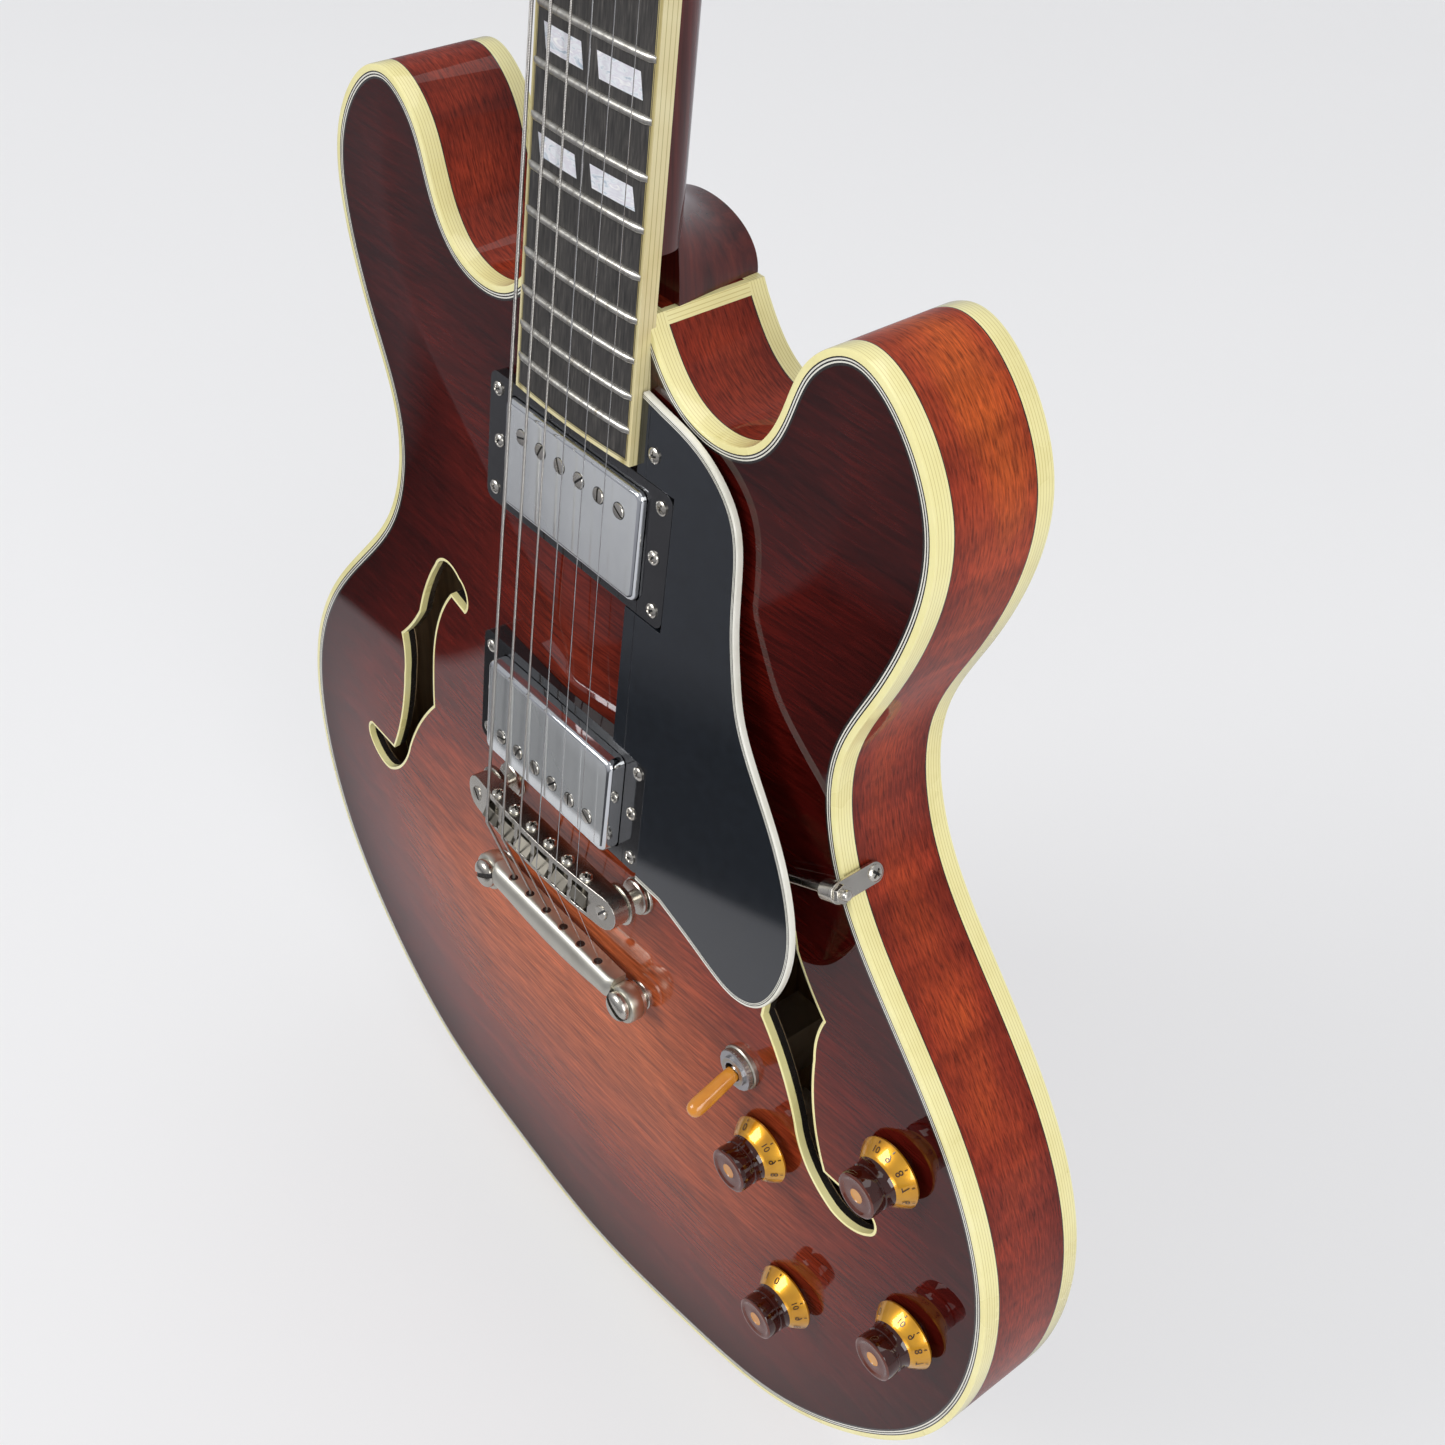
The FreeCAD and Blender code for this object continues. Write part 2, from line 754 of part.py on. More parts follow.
def neck():
    """Neck with heel, tenon and headstock."""
    shaft = on_neck(Part.makeLoft([shaft_section(shaft_end, shaft_depth_at_heel),
                                   shaft_section(scale_length + nut_length, shaft_depth_at_nut)], True,
                                   True))
    stub = on_neck(Part.makeLoft([shaft_section(board_end + tenon_length, shaft_depth_at_heel),
                                  shaft_section(shaft_end, shaft_depth_at_heel)], True, True))
    above_joint = block((-half_body_width, half_body_width), (-rim_depth * 2, rim_depth * 2),
                        (tail_to_neck_joint, body_length * 2))
    head = on_head(head_plate(head_overlay_thickness, head_overlay_thickness + head_thickness, 0))
    wood = shaft.fuse([stub.common(above_joint), heel(), head, tenon()])
    cuts = [truss_pocket(), channel()]
    places = tuner_places()
    for x, z in places:
        cuts.append(on_head(peg(bushing_sleeve_radius,
                                Vector(x, head_overlay_thickness + head_thickness + overrun, z),
                                Vector(x, -overrun, z))))
    cuts.append(on_neck(neck_block((-board_half_width_at_end, board_half_width_at_end),
                                   (-board_thickness, overrun),
                                   (board_end, scale_length + nut_length))))
    return wood.cut(cuts).removeSplitter()


def channel():
    """Groove for the rod in the neck."""
    depth = truss_rod_depth + truss_rod_radius
    return on_neck(neck_block((-truss_channel_half_width, truss_channel_half_width),
                              (-depth, -board_thickness),
                              (board_end + tenon_length * 0.25, scale_length + nut_length
                               + truss_pocket_start)))


def heel_cap():
    """Thin cap on the heel."""
    cap = prism(heel_section(back_y - heel_cap_thickness, heel_half_width, tail_to_neck_joint,
                             heel_cap_length),
                heel_cap_thickness)
    return cap


def board_prism(side_inset, end_inset, low=0.0):
    """Tapered board with straight sides."""
    start = board_end + end_inset
    points = [(-board_half_width(start) + side_inset, start), (board_half_width(start) - side_inset, start),
              (board_half_width_at_nut - side_inset, scale_length),
              (side_inset - board_half_width_at_nut, scale_length)]
    return prism(flat_wire(points, -overrun), board_thickness + overrun - low)


def board_round(radius):
    """Round bar whose surface is the top of the board."""
    axis_start = at(0, -board_radius, board_end - overrun)
    axis_end = at(0, -board_radius, scale_length + overrun)
    return cylinder(radius, axis_start, axis_end)


def fret(number):
    """Crown of one fret, bent to the radius of the board."""
    place = fret_place(number)
    turn = math.degrees(math.asin((board_half_width(place) - fret_end_setback) / board_radius))
    corners = [(0, -fret_width / 2), (fret_height, -fret_width * fret_top_share / 2),
               (fret_height, fret_width * fret_top_share / 2), (0, fret_width / 2)]
    points = [at(0, rise, place + step) for rise, step in corners]
    crown = Part.Face(Part.makePolygon(points + points[:1]))
    crown.rotate(Vector(0, board_radius, 0), upward, -turn)
    return crown.revolve(Vector(0, board_radius, 0), upward, 2 * turn)


def inlay(number, side):
    """One slanted half of the double inlay behind a fret."""
    low_fret = fret_place(number)
    high_fret = fret_place(number - 1)
    middle = (low_fret + high_fret) / 2
    half_height = (high_fret - low_fret) * inlay_height_share / 2
    outer = board_half_width(middle) * inlay_width_share
    inner = inlay_gap / 2
    left, right = (-outer, -inner) if side < 0 else (inner, outer)
    slant = inlay_slant / 2
    points = [(left + slant, middle - half_height), (right + slant, middle - half_height),
              (right - slant, middle + half_height), (left - slant, middle + half_height)]
    column = prism(flat_wire(points, -overrun), inlay_thickness + overrun + board_thickness / 2)
    return column.common(board_round(board_radius).cut(board_round(board_radius - inlay_thickness)))


def inlays():
    """Split blocks of all marked frets."""
    return [inlay(number, side) for number in inlay_frets for side in (-1, 1)]


def fingerboard(inlay_solids):
    """Board with its rounded top, inside its binding and cut for its inlays."""
    core = board_prism(board_binding, board_end_binding).common(board_round(board_radius))
    return core.cut(inlay_solids)


def fingerboard_binding():
    """Strips at the sides and the end of the board."""
    strip = board_prism(0, 0).cut(board_prism(board_binding, board_end_binding, -overrun))
    return strip.common(board_round(board_radius))


def string_x(index, spread):
    """Place of a string across the neck for a spread of the six."""
    return spread * (index / 5 - 0.5)


def string_rise(x):
    """Height of a string over the board at the bridge."""
    return string_rise_at_bridge - x * x / (2 * board_radius)


def string_side_at_post(index):
    """Side of the headstock's middle on which a string's post stands."""
    x = tuner_places()[index][0]
    side = -1 if x < 0 else 1
    return x - side * (wind_radius + string_gap + string_radii[index])


def string_points(index):
    """Corners of one string: tailpiece hole, its mouth, saddle, nut and the side of its post."""
    radius = string_radii[index]
    x_bridge = string_x(index, string_spread_at_bridge)
    x_nut = string_x(index, string_spread_at_nut)
    saddle = at(x_bridge, string_rise(x_bridge) + radius, saddle_breaks[index])
    nut_front = at(x_nut, string_rise_at_nut, scale_length)
    hole = at(x_bridge, tail_string_rise, tail_back + tail_ball_depth)
    mouth = at(x_bridge, tail_string_rise, tail_front + tail_string_hole)
    end = Vector(string_side_at_post(index), -(wind_base + wind_height / 2), tuner_places()[index][1])
    along_neck = [neck_frame.multVec(point) for point in (hole, mouth, saddle, nut_front)]
    return along_neck + [head_frame.multVec(end)]


def string(index):
    """One string from the tailpiece to its post."""
    points = string_points(index)
    path = Part.makePolygon(points)
    section = Placement(points[0], Rotation(upward, points[1].sub(points[0])))
    angles = [2 * math.pi * k / shank_sides for k in range(shank_sides)]
    radius = string_radii[index]
    ring = [section.multVec(Vector(radius * math.cos(a), radius * math.sin(a), 0)) for a in angles]
    return path.makePipeShell([Part.makePolygon(ring + ring[:1])], True, False, 1)


def nut():
    """Nut with its rounded top and a slot for each string."""
    half = board_half_width_at_nut
    low, high = scale_length, scale_length + nut_length
    blank = neck_block((-half, half), (-board_thickness, nut_rise), (low, high))
    blank = blank.common(cylinder(board_radius, at(0, nut_rise - board_radius, low - overrun),
                                  at(0, nut_rise - board_radius, high + overrun)))
    cuts = []
    drop = nut_length * math.tan(math.radians(head_angle))
    for index, radius in enumerate(string_radii):
        x = string_x(index, string_spread_at_nut)
        lean = (string_side_at_post(index) - x) / tuner_places()[index][1] * nut_length
        floor = string_rise_at_nut - radius
        corners = [at(x - radius, floor, low - overrun), at(x - radius, floor, low),
                   at(x - radius, floor - drop, high),
                   at(x - radius, floor - drop, high + overrun),
                   at(x - radius, nut_rise * 2, high + overrun),
                   at(x - radius, nut_rise * 2, low - overrun)]
        width = 2 * radius + abs(lean)
        slot = Part.Face(Part.makePolygon(corners + corners[:1])).extrude(Vector(width, 0, 0))
        slot.translate(Vector(min(lean, 0), 0, 0))
        cuts.append(slot)
    return on_neck(blank.cut(cuts))


def stadium(half_spacing, low_place, high_place, low_rise, high_rise):
    """Long plate with round ends."""
    radius = (high_place - low_place) / 2
    middle = (high_place + low_place) / 2
    bar = neck_block((-half_spacing, half_spacing), (low_rise, high_rise), (low_place, high_place))
    ends = [peg(radius, at(x, low_rise, middle), at(x, high_rise, middle), turned_sides)
            for x in (-half_spacing, half_spacing)]
    return bar.fuse(ends).removeSplitter()


def bridge():
    """Bridge body with its windows, holes and bores."""
    half = bridge_post_spacing / 2
    body = stadium(half, bridge_back, bridge_front, bridge_bottom, bridge_crown)
    crown = cylinder(board_radius, at(0, bridge_crown - board_radius, bridge_back - overrun),
                     at(0, bridge_crown - board_radius, bridge_front + overrun))
    body = body.common(crown)
    cuts = []
    middle = (bridge_front + bridge_back) / 2
    for side in (-1, 1):
        cuts.append(peg(bridge_post_radius + bridge_post_clearance,
                        at(side * half, bridge_bottom - overrun, middle),
                        at(side * half, bridge_crown + overrun, middle), turned_sides))
    for index in range(6):
        x = string_x(index, string_spread_at_bridge)
        cuts.append(neck_block((x - window_width / 2, x + window_width / 2),
                               (window_floor, bridge_crown + overrun),
                               (window_back, window_front)))
        cuts.append(peg(saddle_screw_radius, at(x, saddle_screw_rise, window_front - overrun),
                        at(x, saddle_screw_rise, bridge_front + overrun), shank_sides))
    return on_neck(body.cut(cuts))


def saddle(index):
    """Saddle with its knife edge, notched for the string, on its adjusting screw."""
    x = string_x(index, string_spread_at_bridge)
    half = window_width / 2 - saddle_clearance
    knife = saddle_breaks[index]
    middle = knife + saddle_knife_back
    low = window_floor + saddle_clearance
    top = string_rise(x)
    corners = [(middle - saddle_back, low), (middle + saddle_front, low),
               (middle + saddle_front, saddle_shoulder),
               (knife, top), (middle - saddle_back, top - saddle_back / 2)]
    points = [at(x - half, rise, place) for place, rise in corners]
    body = Part.Face(Part.makePolygon(points + points[:1])).extrude(Vector(2 * half, 0, 0))
    bore_radius = saddle_screw_radius + saddle_bore_clearance
    bore = peg(bore_radius, at(x, saddle_screw_rise, window_back), at(x, saddle_screw_rise, window_front),
               shank_sides)
    return on_neck(body.cut(bore))


def saddle_screws():
    """Screws on which the saddles slide."""
    screws = []
    for index in range(6):
        seat = at(string_x(index, string_spread_at_bridge), saddle_screw_rise, bridge_front)
        solid = screw(saddle_screw_head_radius, saddle_screw_head_length, saddle_screw_radius,
                      bridge_front - window_back)
        screws.append(on_neck(aimed(solid, seat, upward)))
    return screws


def bridge_posts():
    """Slotted posts, each in its flanged sleeve in the block."""
    solids = []
    middle = (bridge_front + bridge_back) / 2
    for side in (-1, 1):
        x = side * bridge_post_spacing / 2
        post = peg(bridge_post_radius, at(x, bridge_post_top - bridge_post_length, middle),
                   at(x, bridge_post_top, middle), turned_sides)
        slot = neck_block((x - bridge_post_radius * 2, x + bridge_post_radius * 2),
                          (bridge_post_top - post_slot_depth, bridge_post_top + overrun),
                          (middle - post_slot_width / 2, middle + post_slot_width / 2))
        flange = collar_height / 2
        collar = turned([(bridge_post_radius, -collar_sleeve_length),
                         (collar_sleeve_radius, -collar_sleeve_length),
                         (collar_sleeve_radius, flange), (collar_radius, flange),
                         (collar_radius, collar_height),
                         (bridge_post_radius, collar_height)])
        solids += [on_neck(post.cut(slot)),
                   on_neck(aimed(collar, at(x, surface_rise_at(x, middle), middle), to_front))]
    return solids


def surface_rise_at(x, place):
    """Rise of the body's top in the neck frame, under a point of the strings."""
    z = bridge_z + place
    angle = math.radians(neck_angle)
    return (top_surface_rise(x, z) - fret_plane_rise + place * math.sin(angle)) / math.cos(angle)


def thumbwheels():
    """Wheels that carry the bridge on its posts."""
    middle = (bridge_front + bridge_back) / 2
    top = bridge_bottom - thumbwheel_gap
    bore = bridge_post_radius + bridge_post_clearance
    wheel = turned([(bore, 0), (thumbwheel_radius, 0), (thumbwheel_radius, thumbwheel_thickness),
                    (bore, thumbwheel_thickness)])
    places = [side * bridge_post_spacing / 2 for side in (-1, 1)]
    return [on_neck(aimed(wheel, at(x, top - thumbwheel_thickness, middle), to_front)) for x in places]


def tailpiece():
    """Bar with its lip, lugs and string holes."""
    corners = [at(-tail_half_length, rise, place) for place, rise in (
        (tail_back, tail_lip_height), (tail_lip, tail_lip_height), (tail_lip, tail_bottom),
        (tail_front, tail_bottom),
        (tail_front, tail_front_height))]
    crown_middle = at(-tail_half_length, tail_crown, (tail_front + tail_back) / 2)
    arc = Part.Arc(corners[4], crown_middle, corners[0]).toShape()
    outline_wire = Part.Wire([Part.makePolygon(corners), arc])
    bar = Part.Face(outline_wire).extrude(Vector(2 * tail_half_length, 0, 0))
    cuts = []
    half = stud_spacing / 2
    fork = stud_neck_radius + tail_fork_clearance
    for side in (-1, 1):
        x = side * half
        lug = peg(tail_lug_radius, at(x, tail_bottom, stud_place), at(x, tail_lug_top, stud_place),
                  turned_sides)
        bar = bar.fuse(lug)
        cuts.append(peg(fork, at(x, tail_bottom - overrun, stud_place),
                        at(x, tail_crown + overrun, stud_place),
                        turned_sides))
        cuts.append(neck_block((x - fork, x + fork), (tail_bottom - overrun, tail_crown + overrun),
                               (stud_place, stud_place + tail_lug_radius + overrun)))
        cuts.append(peg(stud_head_radius + tail_fork_clearance, at(x, tail_lug_top, stud_place),
                        at(x, tail_crown + overrun, stud_place), turned_sides))
    for index in range(6):
        x = string_x(index, string_spread_at_bridge)
        cuts.append(peg(tail_string_hole, at(x, tail_string_rise, tail_lip - overrun),
                        at(x, tail_string_rise, tail_front + overrun)))
        cuts.append(peg(tail_ball_hole, at(x, tail_string_rise, tail_lip - overrun),
                        at(x, tail_string_rise, tail_back + tail_ball_depth)))
    return on_neck(bar.cut(cuts))


def tailpiece_studs():
    """Slotted studs that hold the tailpiece, each in its sleeve in the block."""
    solids = []
    for side in (-1, 1):
        x = side * stud_spacing / 2
        surface = surface_rise_at(x, stud_place)
        head_low = stud_head_top - stud_head_height
        profile = [(0, surface - stud_thread_length), (stud_thread_radius, surface - stud_thread_length),
                   (stud_thread_radius, tail_bottom - stud_flange_height),
                   (stud_flange_radius, tail_bottom - stud_flange_height),
                   (stud_flange_radius, tail_bottom), (stud_neck_radius, tail_bottom),
                   (stud_neck_radius, head_low),
                   (stud_head_radius, head_low), (stud_head_radius, stud_head_top - stud_slot_depth / 3),
                   (stud_head_radius * 0.82, stud_head_top), (0, stud_head_top)]
        slot = block((-stud_head_radius * 2, stud_head_radius * 2),
                     (-stud_slot_width / 2, stud_slot_width / 2),
                     (stud_head_top - stud_slot_depth, stud_head_top + overrun))
        stud = turned(profile).cut(slot)
        sleeve = turned([(stud_thread_radius, surface - stud_sleeve_length),
                         (stud_sleeve_radius, surface - stud_sleeve_length),
                         (stud_sleeve_radius, surface + stud_sleeve_rise),
                         (stud_thread_radius, surface + stud_sleeve_rise)])
        seat = at(x, 0, stud_place)
        solids += [on_neck(aimed(stud, seat, to_front)), on_neck(aimed(sleeve, seat, to_front))]
    return solids


def pickup_ring(index):
    """Frame round a pickup."""
    place = pickup_places[index]
    top = pickup_ring_tops[index]
    outer = rounded_plate(ring_half_length, ring_half_width, ring_corner, rim_depth / 2)
    outer.translate(at(0, top, place))
    half_x = cover_half_length + ring_clearance
    half_z = cover_half_width + ring_clearance
    opening = rounded_plate(half_x, half_z, cover_corner, rim_depth)
    opening.translate(at(0, top + overrun, place))
    ring = on_neck(outer.cut(opening)).common(above_top)
    return ring.cut(ring_screws(index) + height_screws(index))


def ring_screws(index):
    """Screws at the corners of the frame."""
    place = pickup_places[index]
    top = pickup_ring_tops[index]
    x = ring_half_length - ring_screw_inset
    solids = []
    for side_x in (-1, 1):
        for side_z in (-1, 1):
            seat = at(side_x * x, top, place + side_z * ring_screw_spacing / 2)
            solid = screw(small_head_radius, small_head_height, small_shank_radius, small_shank_length)
            solids.append(on_neck(aimed(solid, seat, to_front)))
    return solids


def height_screws(index):
    """Screws that set the pickup's height."""
    place = pickup_places[index]
    top = pickup_ring_tops[index]
    x = ring_half_length - height_screw_inset
    solid = screw(small_head_radius, small_head_height, small_shank_radius, height_shank_length)
    return [on_neck(aimed(solid, at(side * x, top, place), to_front)) for side in (-1, 1)]


def pole_places(index):
    """Places of a pickup's six poles."""
    place = pickup_places[index] + pickup_pole_sides[index] * pole_offset
    return [(pole_spread * (k / 5 - 0.5), place) for k in range(6)]


def pole_screw(index, x, place):
    """Slotted pole with its shank."""
    top = pickup_cover_tops[index] + pole_head_rise
    solid = screw(pole_head_radius, pole_head_height, pole_shank_radius,
                  pole_shank_length - pole_head_height)
    slot = block((-pole_head_radius * 2, pole_head_radius * 2), (-pole_slot_width / 2, pole_slot_width / 2),
                 (pole_head_height - pole_slot_depth, pole_head_height + overrun))
    return on_neck(aimed(solid.cut(slot), at(x, top - pole_head_height, place), to_front))


def pickup_cover(index):
    """Pressed cover: a shell open below, with bevelled edges and a row of holes."""
    place = pickup_places[index]
    outer = rounded_plate(cover_half_length, cover_half_width, cover_corner, cover_depth)
    rim_edges = [edge for edge in outer.Edges if edge.BoundBox.YMax < cover_wall]
    outer = outer.makeChamfer(cover_edge, rim_edges)
    inner = rounded_plate(cover_half_length - cover_wall, cover_half_width - cover_wall,
                          cover_corner - cover_wall,
                          cover_depth)
    inner.translate(Vector(0, cover_edge, 0))
    shell = outer.cut(inner)
    shell.translate(at(0, pickup_cover_tops[index], place))
    top = pickup_cover_tops[index]
    holes = [aimed(polygon_bar(pole_head_radius, -overrun, overrun, head_sides), at(x, top, z), to_front)
             for x, z in pole_places(index)]
    return on_neck(shell.cut(holes))


def pickup_coils(index, poles):
    """Two bobbins, the magnet between them and the base plate with its legs."""
    place = pickup_places[index]
    top = pickup_cover_tops[index] - cover_edge
    offset = (bobbin_width + bobbin_gap) / 2
    solids = []
    for side in (-1, 1):
        middle = place + side * offset
        solids.append(neck_block((-bobbin_half_length, bobbin_half_length), (top - bobbin_height, top),
                                 (middle - bobbin_width / 2, middle + bobbin_width / 2)))
    base_top = top - bobbin_height - magnet_height
    solids.append(neck_block((-magnet_half_length, magnet_half_length), (base_top, top - bobbin_height),
                             (place - magnet_half_width / 2, place + magnet_half_width / 2)))
    inset = cover_wall + base_plate_inset
    plate = neck_block((inset - cover_half_length, cover_half_length - inset),
                       (base_top - base_plate_thickness, base_top),
                       (place - cover_half_width + inset, place + cover_half_width - inset))
    ears = neck_block((-leg_reach, leg_reach),
                      (base_top - base_plate_thickness * 2, base_top - base_plate_thickness),
                      (place - leg_half_width, place + leg_half_width))
    solids.append(plate.fuse(ears).removeSplitter())
    cutters = poles + height_screws(index)
    return [on_neck(solid).cut(cutters) for solid in solids]


def guard_wire(inset=0.0):
    """Outline of the pickguard in the neck frame: free edge, then the notches round the rings."""
    reach = pickup_places[0] * guard_reach_share
    notch_x = ring_half_length + guard_clearance
    left = board_half_width_at_end + guard_clearance
    tip = Vector(left, 0, reach * guard_tip_share)
    edge = [Vector(x * board_half_width_at_end, 0, place * reach) for x, place in guard_edge_shares]
    bottom = Vector(notch_x, 0, reach * guard_foot_share)
    lower = pickup_places[1] + ring_half_width + guard_clearance
    upper = pickup_places[0] - ring_half_width - guard_clearance
    neck_side = pickup_places[0] + ring_half_width + guard_clearance
    corners = [bottom, Vector(notch_x, 0, lower), Vector(left, 0, lower), Vector(left, 0, upper),
               Vector(notch_x, 0, upper), Vector(notch_x, 0, neck_side), Vector(left, 0, neck_side), tip]
    chain = arcs_through([tip] + edge + [bottom]) + [[a, b] for a, b in zip(corners, corners[1:])]
    return chain_wire(chain, inset)


def guard_plate(inset):
    """Guard, set in from its free edge and made thick."""
    wire = guard_wire(inset)
    wire.translate(Vector(0, -guard_top, 0))
    return prism(wire, guard_thickness)


def guard_screw_point():
    """Place of the guard's screw."""
    return at(guard_screw_place_shares[0] * board_half_width_at_end, guard_top,
              guard_screw_place_shares[1] * board_end)


def guard_screw():
    """Screw at the tip of the guard."""
    return on_neck(aimed(screw(small_head_radius, small_head_height, small_shank_radius,
                               small_shank_length),
                         guard_screw_point(), to_front))


def pickguard_pieces():
    """Guard and the bound edge round it."""
    full = guard_plate(0)
    inner = guard_plate(guard_binding)
    notch_x = ring_half_length + guard_clearance
    rings = [neck_block((notch_x - guard_binding * 2, notch_x + guard_binding * 1.5),
                        (guard_top - rim_depth, guard_top + overrun),
                        (place - ring_half_width - guard_clearance, place + ring_half_width
                         + guard_clearance))
             for place in pickup_places]
    strip = full.cut(inner).cut(rings)
    plate = full.cut(strip)
    spacer_top = guard_screw_point().add(Vector(0, guard_thickness, 0))
    spacer = on_neck(peg(small_head_radius * 1.6, spacer_top, spacer_top.add(Vector(0, rim_depth / 4, 0))))
    return on_neck(plate).cut(guard_screw()), on_neck(strip), spacer.common(above_top).cut(guard_screw())


def outline_frame(share):
    """Point of the treble edge at a share of the body's length below the horn, with the outward direction."""
    height = share * body_length
    for edge in body_wire().Edges:
        ends = [vertex.Point for vertex in edge.Vertexes]
        if min(end.x for end in ends) < half_body_width / 2 or not ends[0].z < height <= ends[1].z:
            continue
        low, high = edge.FirstParameter, edge.LastParameter
        for _ in range(40):
            middle = (low + high) / 2
            low, high = (middle, high) if edge.valueAt(middle).z < height else (low, middle)
        tangent = edge.tangentAt(low)
        return edge.valueAt(low), Vector(tangent.z, 0, -tangent.x)


def pickguard_bracket():
    """Rod, nut and plate that hold the guard to the rim."""
    point, outward = outline_frame(bracket_outline_share)
    seat = point.add(Vector(outward).multiply(bracket_seat))
    turn = Placement(Vector(seat.x, front_y, seat.z), Rotation(along_x, outward))
    half = bracket_plate_width / 2
    plate = block((0, bracket_plate_thickness), (-bracket_rise + half, bracket_drop - half), (-half, half))
    ends = [peg(half, Vector(0, y, 0), Vector(bracket_plate_thickness, y, 0), turned_sides)
            for y in (half - bracket_rise, bracket_drop - half)]
    plate = plate.fuse(ends).removeSplitter()
    rod = peg(bracket_rod_radius, Vector(-bracket_rod_length, -bracket_rod_rise, 0),
                   Vector(bracket_plate_thickness + bracket_nut_thickness, -bracket_rod_rise, 0))
    nut_piece = aimed(hexagon(bracket_nut_radius, bracket_nut_thickness),
                      Vector(bracket_plate_thickness, -bracket_rod_rise, 0), along_x).cut(rod)
    plate = plate.cut(rod)
    screw_piece = aimed(screw(small_head_radius, small_head_height, small_shank_radius, small_shank_length),
                        Vector(bracket_plate_thickness, bracket_screw_drop, 0), along_x)
    plate = plate.cut(screw_piece)
    pieces = []
    for piece in (plate, rod, nut_piece, screw_piece):
        moved = piece.copy()
        moved.Placement = turn.multiply(moved.Placement)
        pieces.append(moved)
    return pieces


def control_points():
    """Places of the four controls on the top."""
    return [(x * half_body_width, z * body_length) for x, z in knob_place_shares]


def pot_base(x, z):
    """Top of the plate under a control."""
    return Vector(x, front_y - top_surface_rise(x, z), z)


def pot(x, z):
    """Potentiometer can with its bushing through the top, and the nut that holds it."""
    can_top = -plate_thickness - pot_can_gap
    bushing_top = knob_lift + pot_nut_height
    solid = turned([(0, can_top - pot_can_depth), (pot_can_radius, can_top - pot_can_depth),
                    (pot_can_radius, can_top),
                    (pot_bushing_radius, can_top), (pot_bushing_radius, bushing_top), (0, bushing_top)])
    solid = solid.cut(bore_bar(pot_shaft_radius + pot_shaft_clearance, can_top - pot_can_depth + pot_floor,
                               bushing_top + overrun))
    nut_piece = hexagon(pot_nut_radius, pot_nut_height)
    nut_piece.translate(Vector(0, 0, pot_nut_lift))
    nut_piece = nut_piece.cut(polygon_bar(pot_bushing_radius, -overrun, overrun * 2, turned_sides))
    return [aimed(piece, pot_base(x, z), to_front) for piece in (solid, nut_piece)]


def knob(x, z):
    """Bell knob with its hollow foot, pressed on the shaft of its potentiometer."""
    base = pot_base(x, z)
    low = knob_lift
    high = knob_lift + knob_height
    profile = [(0, low), (knob_skirt_radius, low), (knob_skirt_radius, low + knob_skirt_edge),
               (knob_waist_radius + (knob_skirt_radius - knob_waist_radius) * 0.45, low
                + knob_waist_height * 0.5),
               (knob_waist_radius, low + knob_waist_height), (knob_top_radius, high - knob_skirt_edge / 2),
               (knob_top_radius - knob_skirt_edge / 2, high), (0, high)]
    cap = turned(profile, knob_sides)
    hollow = polygon_bar(pot_nut_radius + knob_foot_clearance, low - overrun, low + pot_nut_height
                         + knob_foot_clearance,
                         turned_sides)
    shaft_low = -plate_thickness - pot_can_gap - pot_can_depth / 2
    shaft = cylinder(pot_shaft_radius, Vector(0, 0, shaft_low), Vector(0, 0, low + knob_bore_depth))
    return [aimed(piece, base, to_front) for piece in (cap.cut([hollow, shaft]), shaft)]


def switch_base():
    """Place of the switch on the top."""
    x = switch_place_shares[0] * half_body_width
    z = switch_place_shares[1] * body_length
    return pot_base(x, z)


def switch_pieces():
    """Switch frame with its threaded sleeve, and the stepped nut on top."""
    under = plate_thickness + pot_can_gap
    body = block((-switch_body_half_width, switch_body_half_width),
                 (-switch_body_half_length, switch_body_half_length),
                 (-under - switch_body_depth, -under))
    sleeve = polygon_bar(switch_sleeve_radius, -under - overrun, switch_nut_height, turned_sides)
    bore = polygon_bar(switch_bore_radius, -under - switch_body_depth + switch_body_floor, switch_nut_height
                       + overrun * 2,
                       turned_sides)
    frame_solid = body.fuse(sleeve).cut(bore)
    nut_profile = [(switch_sleeve_radius, switch_nut_lift), (switch_nut_radius, switch_nut_lift),
                   (switch_nut_radius, switch_nut_height), (switch_collar_radius, switch_nut_height),
                   (switch_collar_radius, switch_nut_height + switch_collar_height),
                   (switch_bore_radius, switch_nut_height + switch_collar_height),
                   (switch_bore_radius, switch_nut_height),
                   (switch_sleeve_radius, switch_nut_height)]
    return [aimed(piece, switch_base(), to_front) for piece in (frame_solid, turned(nut_profile))]


def switch_lever():
    """Lever with its tip, leaning towards the tail, turning in the nut's bore."""
    base = switch_base()
    reach = switch_lever_length
    ball = [(switch_ball_radius * math.sin(a), -switch_ball_radius * math.cos(a))
            for a in (0, math.pi / 4, math.pi / 2, 3 * math.pi / 4)]
    tip = [(switch_tip_radius * width, reach * share) for width, share in switch_tip_shares]
    profile = ball + [(switch_lever_radius, switch_ball_radius), (switch_lever_radius, switch_tip_start),
                      (switch_tip_base_radius, switch_tip_start)] + tip + [(0, reach)]
    pin = cylinder(switch_pin_radius, Vector(-switch_pivot_radius, 0, 0), Vector(switch_pivot_radius, 0, 0))
    lever = turned(profile, peg_sides).fuse(pin)
    pivot = Vector(base.x, base.y - switch_nut_height + switch_pivot_drop, base.z)
    lean = math.radians(switch_rest_lean)
    return aimed(lever, pivot, Vector(0, -math.cos(lean), -math.sin(lean)))


